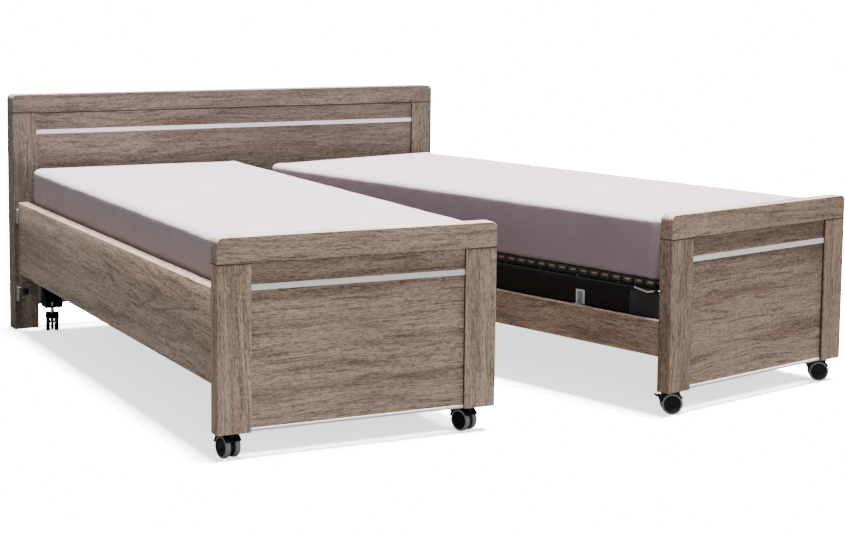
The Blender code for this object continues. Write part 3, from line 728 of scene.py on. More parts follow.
def beech_finish(side):
    """Clear-coated beech layers, with the grain across the bed."""
    name = "beech_" + side
    found = bpy.data.materials.get(name)
    if found:
        return found
    made, net, shader = new_material(name)
    vector = mapped(net, grain_rotation(side, "x"))
    streak = net.noise(net.vector("MULTIPLY", vector, (3.0, 260.0, 90.0)), 1.0, 4.0, 0.6)
    height = net.add("ShaderNodeSeparateXYZ", {0: vector}).outputs[2]
    layers = net.math("SINE", net.math("MULTIPLY", height, 3600.0))
    base = rgba(colours().beech)
    darker = net.mix(1.0, base, (0.72, 0.62, 0.52, 1.0), "MULTIPLY")
    streaks, edges = net.spread(streak, 0.35, 0.7, 0.0, 0.6), net.spread(layers, 0.3, 1.0, 0.0, 0.18)
    shade = net.math("ADD", streaks, edges)
    net.feed(shader.inputs["Base Color"], net.mix(shade, base, darker))
    net.feed(shader.inputs["Roughness"], net.spread(streak, 0.3, 0.7, 0.36, 0.5))
    net.feed(shader.inputs["Normal"], with_bump(net, streak, 0.12, 0.0004))
    shader.inputs["Coat Weight"].default_value = 0.2
    return made


def dress(node, finish):
    """Gives a CAD node its finish in every material slot."""
    obj = frame["nodes"][node]
    if not obj.material_slots:
        obj.data.materials.append(finish)
    for slot in obj.material_slots:
        slot.material = finish


# ------------------------------------------------------------------ boards


def board(name, low, high, place, finish, body, stands_for=()):
    """A board with softly rounded edges."""
    parts = blocks([(low, high)], sizes().board_round)
    return piece(name, parts, place, finish, body, 50.0, stands_for)


def joint_and_shade_lines(name, corners, place, body):
    """Dark lines between boards: thin blocks that stand a hair proud of the wood. Some are real joints;
    others are painted shade in the recesses.
    """
    finish = coated("joint_line", srgb(52, 40, 32), 1500.0, 0.6, 0.8, 0.01, 0.1)
    piece(name, blocks(corners, 0.0002, 1), place, finish, body)


def dress_headboard():
    """Oak on the headboard's own boards, with the grain along each of them, darkened with painted shade.
    """
    for node, along, offset in (
        ("headboard_post_left", "z", (0.3, 1.7, 0.2)),
        ("headboard_post_right", "z", (2.3, 0.4, 1.1)),
        ("headboard_top_rail", "x", (0.7, 3.1, 0.4)),
        ("headboard_panel", "x", (4.2, 0.9, 2.2)),
    ):
        dress(node, oak(node, None, along, offset, HEAD_PAINTED_SHADE))
    dress("headboard_inlay", inlay_finish())
    headboard_joints()


def headboard_joints():
    """Joint lines under the headboard's top rail where it meets the posts, and painted shade in both ends
    of its panel's recess and along the panel's top under the rail.
    """
    corners, posts = [], {side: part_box("headboard_post_" + side) for side in SIDES}
    panel_low, panel_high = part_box("headboard_panel")
    for side, (low, high) in posts.items():
        seam, front = high[2], low[1]
        lower = (low[0] - 0.0003, front - 0.0004, seam - SEAM_HALF)
        corners.append((lower, (high[0] + 0.0003, front + 0.0100, seam + SEAM_HALF)))
        # Painted shade on the post's side face at the panel's end, in the recess.
        edge, inward = (high[0], 1.0) if side == "left" else (low[0], -1.0)
        a, b = sorted((edge - 0.0002 * inward, edge + 0.0008 * inward))
        corners.append(((a, front + 0.0042, panel_low[2]), (b, panel_low[1] + 0.0002, panel_high[2])))
    # Painted shade along the panel's top, in the recess under the top rail.
    rail_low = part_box("headboard_top_rail")[0][2]
    lower = (posts["left"][1][0], panel_low[1] - 0.0005, rail_low - 0.0045)
    corners.append((lower, (posts["right"][0][0], panel_low[1] + 0.0010, rail_low + 0.0002)))
    world = Place((0.0, 0.0, 0.0), (1.0, 0.0, 0.0), (0.0, 1.0, 0.0))
    joint_and_shade_lines("headboard_joint_lines", corners, world, "headboard")


def footboard_joints(side):
    """Joint lines under a footboard's top rail, and painted shade in both ends of its panel's recess."""
    front, corners = -LENGTH, []
    for a, b in ((0.0, POST_W), (WIDTH - POST_W, WIDTH)):
        lower = (a - 0.0004, front - 0.0004, FOOT_SEAM - SEAM_HALF)
        corners.append((lower, (b + 0.0004, FOOT_BACK + 0.0003, FOOT_SEAM + SEAM_HALF)))
    # Painted shade on the posts' side faces at the panel's ends, in the recess.
    for a, b in ((POST_W - 0.0002, POST_W + 0.0008), (WIDTH - POST_W - 0.0008, WIDTH - POST_W + 0.0002)):
        corners.append(((a, front + 0.0042, 0.0870), (b, front + 0.0082, FOOT_SEAM)))
    joint_and_shade_lines("foot_joint_lines_" + side, corners, bed_place(side), "bed_" + side)


def dress_footboard(side):
    """Oak on a footboard's own boards, pale laminate on its strip and tape under its panel. The right
    footboard's oak is darkened with painted shade.
    """
    shift, tone = (0.0, PLAIN_TONE) if side == "left" else (5.3, RIGHT_PAINTED_SHADE)
    for part, along, (x, y, z) in (
        ("foot_post_outer", "z", (0.6, 0.3, 0.9)),
        ("foot_post_inner", "z", (1.9, 2.2, 0.1)),
        ("foot_top_rail", "x", (1.4, 0.2, 3.7)),
        ("foot_panel", "x", (2.9, 1.2, 0.8)),
    ):
        node = f"{part}_{side}"
        dress(node, oak(node, side, along, (x + shift, y, z), tone))
    dress(f"foot_inlay_{side}", inlay_finish())
    tape = coated("pale_edge_tape", srgb(246, 242, 236), 700.0, 0.45, 0.6, 0.02, 0.08)
    low, high = (POST_W + 0.0005, -2.0834, 0.0762), (WIDTH - POST_W - 0.0005, -2.0602, 0.0862)
    board(f"foot_panel_tape_{side}", low, high, bed_place(side), tape, "bed_" + side)
    footboard_joints(side)


def dress_rails(side):
    """The tall outer rail, made again without its hinge leaf, with the mattress's shadow painted on its
    top, and the low inner rail.
    """
    place, body = bed_place(side), "bed_" + side
    finish = oak("outer_rail_" + side, side, "y", (0.9 if side == "left" else 4.4, 0.7, 1.6))
    low = (0.0, FOOT_BACK + 0.0003, OUTER_RAIL_LOW)
    high = (OUTER_RAIL_T, RAIL_HEAD, OUTER_RAIL_TOP)
    board("outer_rail_board_" + side, low, high, place, finish, body, ("outer_rail_" + side,))
    # A thin dark sheet of oak on the outer rail's top is the mattress's painted shadow.
    low = (0.0012, FOOT_BACK + 0.0008, OUTER_RAIL_TOP - 0.0004)
    high = (OUTER_RAIL_T - 0.0012, RAIL_HEAD - 0.0008, OUTER_RAIL_TOP + 0.0004)
    band = oak("rail_edge_band_" + side, side, "y", (1.2, 0.4, 2.6), MATTRESS_SHADOW_ON_RAIL)
    piece("outer_rail_edge_band_" + side, blocks([(low, high)], 0.0003, 1), place, band, body)
    # The right inner rail's oak is darkened with painted shade.
    node, x, tone = f"inner_rail_{side}", 3.3, PLAIN_TONE
    if side == "right":
        x, tone = 6.1, RIGHT_RAIL_PAINTED_SHADE
    dress(node, oak(node, side, "y", (x, 2.7, 0.6), tone))


# ------------------------------------------------------------------ swing hinges


def knuckle(low, high):
    """A hinge barrel with small chamfers, turned about its pin."""
    radius, chamfer = 0.0075, 0.0008
    profile = [
        (low, 0.0), (low, radius - chamfer), (low + chamfer, radius),
        (high - chamfer, radius), (high, radius - chamfer), (high, 0.0),
    ]
    return lathe(profile, axis="z", segments=24)


def leaf_screws(x, y, low, high):
    """Two screw heads on a hinge leaf."""
    middles = (low + (high - low) * 0.25, low + (high - low) * 0.75)
    return [screw_head((x, y, z), SCREW_R, "y", -1.0) for z in middles]


def build_hinges(side):
    """Two lift-off hinges: a fixed leaf and a turning leaf with a barrel each, on one pin."""
    fixed, moving = [], []
    for z in HINGE_Z:
        middle, top = z + KNUCKLE_H, z + 2.0 * KNUCKLE_H
        below, above = middle - LEAF_GAP, middle + LEAF_GAP
        fixed.append(knuckle(z, below))
        fixed += blocks([((0.0, 0.0067, z), (0.030, 0.0097, below))], 0.0006, 1)
        fixed += leaf_screws(0.021, 0.0067, z, middle)
        moving.append(knuckle(above, top))
        moving += blocks([((0.0, -0.0117, above), (0.034, -0.0060, top))], 0.0006, 1)
        pin = [
            (z - 0.003, 0.0), (z - 0.003, 0.0035), (top + 0.002, 0.0035), (top + 0.003, 0.0028),
            (top + 0.003, 0.0),
        ]
        fixed.append(lathe(pin, axis="z", segments=16))
    zinc, rod = zinc_finish(), ("hinge_rod_" + side,)
    piece("swing_hinge_fixed_" + side, fixed, fixed_place(side), zinc, "headboard", 35.0, rod)
    piece("swing_hinge_leaf_" + side, moving, bed_place(side), zinc, "bed_" + side)


# ------------------------------------------------------------------ steel base


def channel(x_low, web_outside, low_y, high_y):
    """A folded channel: its cross-section is a web with two flanges, carried along the bed."""
    low_z, high_z = BEAM_Z
    x_high = x_low + BEAM_W
    section = [
        (x_low, low_z), (x_high, low_z), (x_high, low_z + STEEL), (x_low + STEEL, low_z + STEEL),
        (x_low + STEEL, high_z - STEEL), (x_high, high_z - STEEL), (x_high, high_z), (x_low, high_z),
    ]
    if not web_outside:
        section = [(x_low + x_high - x, z) for x, z in section][::-1]
    return extruded(section, low_y, high_y)


def angle_bar(y_low, y_high):
    """An angle across the bed between the side beams."""
    low, top = BEAM_Z[0] + 0.0020, BEAM_Z[1] - 0.0016
    section = [
        (y_low, low), (y_low + STEEL, low), (y_low + STEEL, top - STEEL), (y_high, top - STEEL),
        (y_high, top), (y_low, top),
    ]
    return extruded(section, OUTER_BEAM_X + 0.0030, INNER_BEAM_X + BEAM_W - 0.0030, "x")


def castor_bracket(x):
    """A folded bracket under the head crossbar: back plate, tapered cheeks and a bottom plate."""
    half, back, front, low = 0.032, -0.045, -0.112, 0.094
    parts = blocks([((x - half, back - STEEL, low), (x + half, back, 0.3690))], 0.0010, 1)
    parts += blocks([((x - half, front, low), (x + half, back, low + 0.006))], 0.0012, 1)
    cheek = [(front, low), (back, low), (back, 0.190), (back - 0.012, 0.190), (front, low + 0.020)]
    for edge in (x - half, x + half - STEEL):
        parts.append(extruded(cheek, edge, edge + STEEL, "x"))
    return parts


def build_base(side):
    """Side beams, crossbars, castor brackets and the plate of the low hinge in black steel, and
    a wooden block behind that hinge."""
    place, body = bed_place(side), "bed_" + side
    parts = [channel(OUTER_BEAM_X, True, *BASE_ENDS), channel(INNER_BEAM_X, False, *BASE_ENDS)]
    rows = (BASE_ENDS[1] - 0.030, BASE_ENDS[0], BACK_AXIS_Y - 0.015, THIGH_AXIS_Y - 0.015)
    parts += [angle_bar(y, y + 0.030) for y in rows]
    for x in HEAD_CASTORS_X:
        parts += castor_bracket(x)
    leaf_low, plate_low, beam_high = HINGE_Z[0] + KNUCKLE_H, 0.2125, OUTER_BEAM_X + BEAM_W
    wood = blocks([((0.004, -0.033, leaf_low), (beam_high, -0.030, plate_low))], 0.0008, 1)
    # The block's oak is darkened with the headboard's painted shade.
    finish = oak("hinge_block_" + side, side, "x", (0.2, 0.9, 0.4), HEAD_PAINTED_SHADE)
    piece("hinge_block_" + side, wood, place, finish, body)
    plates = (
        ((OUTER_BEAM_X, -0.033, plate_low), (beam_high, -0.030, 0.369)),
        ((0.004, -0.033, leaf_low), (0.030, -0.0068, leaf_low + KNUCKLE_H)),
    )
    parts += blocks(plates, 0.0008, 1)
    steel = steel_finish()
    base = piece("steel_base_" + side, parts, place, steel, body, 30.0, ("base_frame_" + side,))
    soften(base)
    low_y, high_y, low_z = THIGH_AXIS_Y + AXIS_GAP, BACK_AXIS_Y - AXIS_GAP, BEAM_Z[1] + 0.0003
    bars = [((x, low_y, low_z), (x + BAR_W, high_y, BAR_Z[1])) for x in BARS_X]
    piece("seat_bars_" + side, blocks(bars, 0.0015), place, steel, body)


def build_beam_fittings(side):
    """Fittings on the inner beam: its corner cap, a black strip whose black is painted shade in the gap
    under the slats, a grey line on the strip that is a painted highlight, the bracket that holds the
    inner rail, and the mattress clip on the footboard."""
    place, body = bed_place(side), "bed_" + side
    face = INNER_BEAM_X + BEAM_W
    high, top = face + 0.0022, BEAM_Z[1]
    grey = coated("grey_corner_cap", colours().cap, 1500.0, 0.42, 0.58, 0.05, 0.12)
    low = (INNER_BEAM_X - 0.002, CAP_END, BEAM_Z[0] - 0.0022)
    cap = blocks([(low, (high, -1.893, top + 0.0022))], 0.0070, 4)
    line = ((high - 0.003, -1.905, top - 0.012), (high + 0.0006, -1.988, top - 0.009))
    cap += blocks([line], 0.0008, 1)
    piece("beam_corner_cap_" + side, cap, place, grey, body)
    # A black steel strip closes the gap between the beam and the slats; its black stands in for the shade
    # seen through that gap.
    near, far, highlight_z = face + 0.0004, face + 0.0024, 0.3820
    trim = (
        ((near, -1.8925, 0.350), (far, BASE_ENDS[1], 0.3815)),
        ((near, CAP_END, 0.3745), (far, -1.8900, 0.3815)),
    )
    piece("beam_edge_trim_" + side, blocks(trim, 0.0008), place, steel_finish(), body)
    # A grey line along the strip's top is a painted highlight on the beam's edge.
    ends = [(near + 0.0012, CAP_END, highlight_z), (near + 0.0012, BASE_ENDS[1], highlight_z)]
    grey = coated("bead_grey", srgb(66, 70, 76), 1500.0, 0.35, 0.5, 0.02, 0.1)
    piece("beam_edge_bead_" + side, [tube(ends, 0.0014, 10)], place, grey, body)
    build_rail_bracket(side, face + 0.0003, face + 0.0022)
    y, x, z = FOOT_BACK, 0.868, 0.533
    wire = [(x, y + 0.001, z), (x, y + 0.009, z), (x, y + 0.011, 0.527), (x, y + 0.011, 0.512)]
    clip = [tube(wire, 0.0022, 10)]
    clip += blocks([((0.861, y + 0.0003, 0.522), (0.875, y + 0.003, 0.540))], 0.0010)
    piece("mattress_clip_" + side, clip, place, zinc_finish(), body)


def build_rail_bracket(side, back, front):
    """The grey angle between the inner beam and the inner rail, its screws and its pale rim."""
    place, body = bed_place(side), "bed_" + side
    near, far, low, top = -1.7040, -1.6690, 0.2963, 0.3430
    middle, edge = (near + far) / 2.0, front - 0.0008
    rim = (
        ((edge, near - 0.0008, low), (front + 0.0035, near + 0.005, top)),
        ((edge, far - 0.005, low), (front + 0.0035, far + 0.0008, top)),
        ((edge, near, top - 0.005), (front + 0.0033, far, top + 0.0008)),
    )
    pale = coated("pale_bracket_rim", srgb(206, 210, 212), 1300.0, 0.35, 0.5, 0.05, 0.1)
    piece("rail_bracket_rim_" + side, blocks(rim, 0.0010), place, pale, body)
    foot_z = 0.2990
    angle = (
        ((back, near, low), (front, far, top)),
        ((back, near, low), (INNER_RAIL_X + 0.014, far, foot_z)),
    )
    plate = blocks(angle, 0.0008)
    plate.append(screw_head((INNER_RAIL_X + 0.006, middle, foot_z), 0.0035, "z"))
    plate.append(screw_head((front, middle, 0.322), 0.0040, "x"))
    grey = coated("grey_bracket", srgb(132, 137, 140), 1300.0, 0.35, 0.5, 0.05, 0.1)
    piece("rail_bracket_" + side, plate, place, grey, body)


# ------------------------------------------------------------------ slatted sections


def slat_rows(y_from, y_to):
    """Middle lines of evenly pitched slats."""
    count = int(round((y_from - y_to) / SLAT_PITCH)) + 1
    return np.linspace(y_from, y_to, count)


def bowed_slat(y):
    """A slat: a rounded rectangle carried across the bed, whose height follows a parabola that
    is 0 at both ends and the bow in the middle, its top just under the mattress."""
    size = sizes()
    outline = rounded_outline(size.slat_width, size.slat_thickness, 0.0025, 2)
    x = np.linspace(BARS_X[0] + 0.0060, BARS_X[1] + BAR_W - 0.0060, 15)
    share = (x - x[0]) / (x[-1] - x[0])
    top = SLAT_TOP - size.slat_bow * (2.0 * share - 1.0) ** 2
    z = top[:, None] - size.slat_thickness / 2.0 + outline[None, :, 1]
    y_all = np.broadcast_to(y + outline[None, :, 0], z.shape)
    return loft(np.stack([np.broadcast_to(x[:, None], z.shape), y_all, z], -1))


def slat_holder(y, x):
    """A soft cap that clamps a slat's end to the side bar: a cradle with two lips."""
    half, lip, low, lip_top = sizes().slat_width / 2.0 + 0.003, 0.0045, 0.3930, 0.4045
    near, far = x + 0.0012, x + BAR_W - 0.0012
    cradle = blocks([((near, y - half, 0.3925), (far, y + half, 0.3968))], 0.0016)
    lips = (
        ((near, y - half, low), (far, y - half + lip, lip_top)),
        ((near, y + half - lip, low), (far, y + half, lip_top)),
    )
    return cradle + blocks(lips, 0.0018)


def build_section(name, side, body, rows, bar_ends=None, end_bar=None, stands_for=()):
    """Bars, bowed slats and their holders for one section."""
    place, bars = bed_place(side), []
    if bar_ends:
        low_y, high_y = bar_ends
        bars += blocks([((x, low_y, BAR_Z[0]), (x + BAR_W, high_y, 0.3925)) for x in BARS_X], 0.0020)
    if end_bar is not None:
        low = (BARS_X[0] + 0.003, end_bar, 0.381)
        high = (BARS_X[1] + BAR_W - 0.003, end_bar + END_BAR_W, 0.395)
        bars += blocks([(low, high)], 0.0020)
    slats = [bowed_slat(y) for y in rows]
    holders = [part for y in rows for x in BARS_X for part in slat_holder(y, x)]
    beech = beech_finish(side)
    piece(f"slats_{name}_{side}", slats, place, beech, body, stands_for=stands_for)
    rubber = coated("slat_holder_rubber", srgb(70, 69, 72), 1600.0, 0.55, 0.7, 0.05, 0.1)
    piece(f"slat_holders_{name}_{side}", holders, place, rubber, body)
    if bars:
        piece(f"section_bars_{name}_{side}", bars, place, steel_finish(), body)


def build_sections(side):
    """The back, seat, thigh and calf slats of one single bed, the wire hook at its foot end and
    the rivets along the calf section."""
    head, foot, gap = BASE_ENDS[1] - 0.0003, -1.998, AXIS_GAP
    back, thigh, knee = BACK_AXIS_Y, THIGH_AXIS_Y, KNEE_AXIS_Y
    for name, body, rows, ends, end_bar in (
        ("back", "back", (head - 0.030, back + 0.035), (back + gap, head), head - END_BAR_W),
        ("seat", "bed", (back - 0.035, thigh + 0.035), None, None),
        ("thigh", "thigh", (thigh - 0.035, knee + 0.030), (knee + gap, thigh - gap), None),
        ("calf", "calf", (knee - 0.030, foot + 0.030), (foot, knee - gap), foot),
    ):
        node = () if name == "seat" else (f"{name}_section_{side}",)
        build_section(name, side, f"{body}_{side}", slat_rows(*rows), ends, end_bar, node)
    place, body, edge = bed_place(side), "calf_" + side, BARS_X[1] + BAR_W
    out = edge + 0.0145
    hook = [
        (edge - 0.002, -1.910, 0.3860), (out, -1.922, 0.3830), (out, -1.947, 0.3790),
        (out, -1.975, 0.3750), (out, -2.002, 0.3810),
    ]
    wire = drawn("cream_wire", srgb(250, 240, 226), side, "y", 0.4)
    piece("section_end_hook_" + side, [tube(hook, 0.0032, 10)], place, wire, body)
    rivets = [screw_head((edge, y, 0.3850), 0.0028) for y in (-1.33, -1.49, -1.66, -1.84)]
    piece("section_rivets_" + side, rivets, place, zinc_finish(), body)


# ------------------------------------------------------------------ drive unit


def build_drive(side):
    """A double drive: two housings on a ribbed body, with push blocks, feet and a plug socket."""
    place, body = bed_place(side), "bed_" + side
    low, high = (WIDTH - DRIVE_W) / 2.0, (WIDTH + DRIVE_W) / 2.0
    middle = (low + high) / 2.0
    parts = blocks([((low + 0.012, -1.108, 0.215), (high - 0.012, -0.572, 0.2855))], 0.014, 5)
    for y in (-0.605, -1.075):
        parts += blocks([((low, y - 0.045, 0.212), (high, y + 0.045, 0.340))], 0.016, 5)
        push = ((middle - 0.030, y - 0.030, 0.337), (middle + 0.030, y + 0.030, 0.3405))
        parts += blocks([push], 0.002)
    for y in np.linspace(-0.70, -0.98, 9):
        rib = ((low + 0.020, y - 0.003, 0.2125), (high - 0.020, y + 0.003, 0.220))
        parts += blocks([rib], 0.0015)
    parts += blocks([((high - 0.016, -0.79, 0.235), (high - 0.004, -0.73, 0.268))], 0.004, 3)
    black, node = plastic_finish(), ("drive_unit_" + side,)
    piece("drive_housing_" + side, parts, place, black, body, 35.0, node)
    bands = [
        ((low + 0.0100, y - 0.0015, 0.2140), (high - 0.0100, y + 0.0015, 0.2862))
        for y in (-0.6545, -1.0255)
    ]
    grey = coated("drive_trim_grey", srgb(92, 92, 96), 1500.0, 0.45, 0.6, 0.03, 0.08)
    piece("drive_trim_" + side, blocks(bands, 0.0008, 1), place, grey, body)


# ------------------------------------------------------------------ castors


def build_castor(spot, side):
    """One twin-wheel castor: hood with a web, wheels with soft treads, stem and brake pedal."""
    place, ending = castor_place(spot, side), f"{spot}_{side}"
    body, hub, at_head = "castor_" + ending, (TRAIL, WHEEL_R), spot.startswith("head")
    hood = [arc_band(hub, 0.0366, 0.0030, 0.0495, 12.0, 152.0, 18)]
    for x in (-0.0243, 0.0243):
        lip, faces = arc_band(hub, 0.0350, 0.0040, 0.0016, 16.0, 148.0, 14)
        hood.append((lip + np.array((x, 0.0, 0.0)), faces))
    web = [
        (-0.0058, 0.0), (-0.0058, 0.0285), (-0.0048, 0.0298), (0.0048, 0.0298), (0.0058, 0.0285),
        (0.0058, 0.0),
    ]
    hood.append(lathe(web, (0.0, *hub)))
    hood += blocks([((-0.0058, -0.004, 0.050), (0.0058, 0.030, 0.0700))], 0.0015)
    boss = [(0.034, 0.0), (0.034, 0.0068), (0.0712, 0.0068), (0.0722, 0.0060), (0.0722, 0.0)]
    hood.append(lathe(boss, axis="z", segments=24))
    piece("castor_hood_" + ending, hood, place, plastic_finish(), body, 35.0, (body,))
    foot, top = 0.0724, 0.112 if at_head else 0.0985
    stem = [(foot, 0.0), (foot, 0.0049), (top - 0.001, 0.0049), (top, 0.0042), (top, 0.0)]
    collar = [(foot, 0.0), (foot, 0.0085), (0.0736, 0.0088), (0.0742, 0.0080), (0.0742, 0.0)]
    sleeve = [(0.074, 0.0), (0.074, 0.0072), (0.0935, 0.0072), (0.0938, 0.0)]
    profiles = [stem, collar, sleeve] if at_head else [stem, collar]
    parts = [lathe(profile, axis="z", segments=20) for profile in profiles]
    shine = drawn("bright_stem", srgb(235, 235, 232), None, "z", 0.18)
    piece("castor_stem_" + ending, parts, place, shine, body)
    build_wheels(place, ending)
    if not at_head:
        build_pedal(place, ending)


def build_wheels(place, ending):
    """Two soft treads, each a turned ring, on a hub with dished faces turned about the axle. The
    castors at the head end have black treads."""
    hub, rim, body = (0.0, TRAIL, WHEEL_R), 0.0268, "wheels_" + ending
    ring = [
        (0.0080, rim), (0.0080, WHEEL_R - 0.0028), (0.0092, WHEEL_R - 0.0010), (0.0112, WHEEL_R),
        (0.0198, WHEEL_R), (0.0220, WHEEL_R - 0.0010), (0.0233, WHEEL_R - 0.0030), (0.0235, rim),
        (0.0080, rim),
    ]
    treads = [lathe([(end * x, r) for x, r in ring], hub, segments=48) for end in (-1.0, 1.0)]
    tread = coated("soft_tread", colours().tread, 1100.0, 0.55, 0.72, 0.10, 0.2)
    if ending.startswith("head"):
        tread = plastic_finish()
    piece("wheel_treads_" + ending, treads, place, tread, body, 35.0, (body,))
    half = [
        (0.0238, 0.0), (0.0242, 0.0045), (0.0236, 0.0075), (0.0226, 0.0085), (0.0222, 0.0140),
        (0.0226, 0.0215), (0.0236, 0.0232), (0.0240, 0.0250), (0.0236, rim), (0.0083, rim),
        (0.0083, 0.0060), (0.0070, 0.0038), (0.0001, 0.0036),
    ]
    profile = half + [(-x, r) for x, r in half[::-1]]
    disc = lathe(profile, hub, segments=40)
    piece("wheel_hubs_" + ending, [disc], place, plastic_finish(), body)


def build_pedal(place, ending):
    """The brake lever: a round pivot, a bent blade and grip ribs across its tip. The blade's
    middle line rises with the power of 1.6 of its length, and it narrows towards its tip."""
    angle, reach, blade_y, blade_z = math.radians(30.0), 0.0425, 0.0160, 0.0055
    y, z = TRAIL + reach * math.cos(angle), WHEEL_R + reach * math.sin(angle)
    pivot = [(-0.018, 0.0), (-0.018, 0.0030), (-0.0172, 0.0035)]
    pivot += [(-x, r) for x, r in pivot[::-1]]
    parts = [lathe(pivot, (0.0, y, z), segments=16)]
    run = np.linspace(0.0, 1.0, 8)[:, None]
    outline = rounded_outline(0.033, 0.0028, 0.0012, 2)[None]
    across = outline[..., 0] * (1.0 - 0.18 * run**3)
    ahead = np.broadcast_to(y + blade_y * run, across.shape)
    parts.append(loft(np.stack([across, ahead, z + blade_z * run**1.6 + outline[..., 1]], -1)))
    for share in (0.35, 0.55, 0.75, 0.93):
        rib_y, rib_z = y + blade_y * share, z + blade_z * share**1.6 + 0.0014
        rib = ((-0.0130, rib_y - 0.0007, rib_z - 0.0008), (0.0130, rib_y + 0.0007, rib_z + 0.0010))
        parts += blocks([rib], 0.0005, 1)
    body = "brake_pedal_" + ending
    piece("brake_lever_" + ending, parts, place, plastic_finish(), body, 35.0, (body,))


# ------------------------------------------------------------------ mattress


def spaced(low, high, step, edge, middle_lines=()):
    """Grid lines from low to high: five close lines over each rounded edge, even ones between,
    and one on each middle line."""
    near = np.array((0.0, 0.18, 0.38, 0.60, 0.80, 1.0)) * edge
    stops = [low + edge, *sorted(middle_lines), high - edge]
    inside = []
    for a, b in zip(stops[:-1], stops[1:]):
        count = max(1, int(round((b - a) / step)))
        inside.append(np.linspace(a, b, count + 1)[:-1])
    return np.concatenate([low + near[:-1], *inside, high - near[::-1]])


def block_surface(xs, ys, zs):
    """The six outside sheets of a block, each a grid of points on the given lines."""
    sheets = []
    for axis, (first, second) in ((0, (1, 2)), (1, (2, 0)), (2, (0, 1))):
        lines = (xs, ys, zs)
        a, b = np.meshgrid(lines[first], lines[second], indexing="ij")
        for end, flip in ((0, True), (-1, False)):
            points = np.zeros(a.shape + (3,))
            points[..., axis] = lines[axis][end]
            points[..., first] = a
            points[..., second] = b
            quads = grid_faces(len(lines[first]), len(lines[second]), wrap=False)
            sheets.append((points.reshape(-1, 3), quads if not flip else quads[:, ::-1]))
    count, points, faces = 0, [], []
    for verts, quads in sheets:
        points.append(verts)
        faces.append(quads + count)
        count += len(verts)
    return np.concatenate(points), np.concatenate(faces)


def mattress_points(points):
    """The fitted sheet's shape. Points outside an inner block are drawn onto an ellipsoid round
    its nearest point, which rounds the edges. The top is crowned, the sides swell a little,
    slow waves run along the edges, pleats fan out from the lower corners and the outer side
    leans a little over the tall rail."""
    size = sizes()
    low, high = np.array(MATTRESS_LOW), np.array(MATTRESS_HIGH)
    radii = np.array((size.mattress_corner, size.mattress_corner, size.mattress_edge))
    nearest = np.clip(points, low + radii, high - radii)
    away = (points - nearest) / radii
    length = np.maximum(np.linalg.norm(away, axis=1, keepdims=True), 1e-9)
    outward = away / length
    shaped = nearest + radii * outward
    u = (shaped[:, 0] - low[0]) / (high[0] - low[0])
    v = (shaped[:, 1] - low[1]) / (high[1] - low[1])
    h = np.clip((shaped[:, 2] - low[2]) / (high[2] - low[2]), 0.0, 1.0)
    normal = outward / np.maximum(np.linalg.norm(outward, axis=1, keepdims=True), 1e-9)
    crown = 0.0035 * (1.0 - (2.0 * u - 1.0) ** 4) * (1.0 - (2.0 * v - 1.0) ** 8)
    crown *= np.clip(normal[:, 2], 0.0, 1.0)
    level = 1.0 - np.abs(normal[:, 2])
    swell = 0.0030 * np.sin(np.pi * h) * level
    x, y = shaped[:, 0], shaped[:, 1]
    waves = np.sin(13.0 * y + 1.3) + 0.7 * np.sin(31.0 * y + 17.0 * x)
    waves = 0.0009 * (waves + 0.5 * np.sin(57.0 * y - 9.0 * x + 2.0)) * (0.35 + 0.65 * level)
    corner_x = np.where(u > 0.5, high[0], low[0])
    corner_y = np.where(v > 0.5, high[1], low[1])
    reach = np.hypot(x - corner_x, y - corner_y)
    around = np.arctan2(y - corner_y, x - corner_x)
    pleats = np.abs(np.sin(95.0 * reach + 3.0 * around)) - 0.5
    pleats *= 0.0022 * np.exp(-((reach / 0.11) ** 2)) * np.clip(1.15 - h, 0.0, 1.0) * level
    tuck = -0.0030 * np.clip(1.0 - h / 0.10, 0.0, 1.0) * level
    shaped += normal * (crown + swell + waves + pleats + tuck - 0.001)[:, None]
    over = np.clip((shaped[:, 2] - OUTER_RAIL_TOP - 0.002) / 0.020, 0.0, 1.0)
    over = over * over * (3.0 - 2.0 * over)
    shaped[:, 0] -= OVERHANG * over * np.clip(1.0 - 4.0 * u, 0.0, 1.0)
    return shaped


def settled(points, faces):
    """Blows the sheet up a little as cloth over its foam and lets it settle, then caps how far
    a point may move."""
    mesh = bpy.data.meshes.new("settling")
    mesh.from_pydata(points.tolist(), [], faces)
    obj = linked("settling", mesh)
    cloth = obj.modifiers.new("cloth", "CLOTH").settings
    cloth.use_pressure = True
    cloth.uniform_pressure_force = 3.0
    cloth.effector_weights.gravity = 0.0
    cloth.quality = 4
    cloth.tension_stiffness = 18.0
    cloth.compression_stiffness = 18.0
    cloth.bending_stiffness = 0.6
    scene = bpy.context.scene
    for step in range(1, 17):
        scene.frame_set(step)
    graph = bpy.context.evaluated_depsgraph_get()
    result = obj.evaluated_get(graph).to_mesh()
    moved = np.empty(len(result.vertices) * 3)
    result.vertices.foreach_get("co", moved)
    moved = moved.reshape(-1, 3) - points
    obj.evaluated_get(graph).to_mesh_clear()
    bpy.data.objects.remove(obj)
    scene.frame_set(1)
    reach = np.maximum(np.linalg.norm(moved, axis=1, keepdims=True), 1e-9)
    cap = 0.006
    return points + moved / reach * cap * np.tanh(reach / cap)


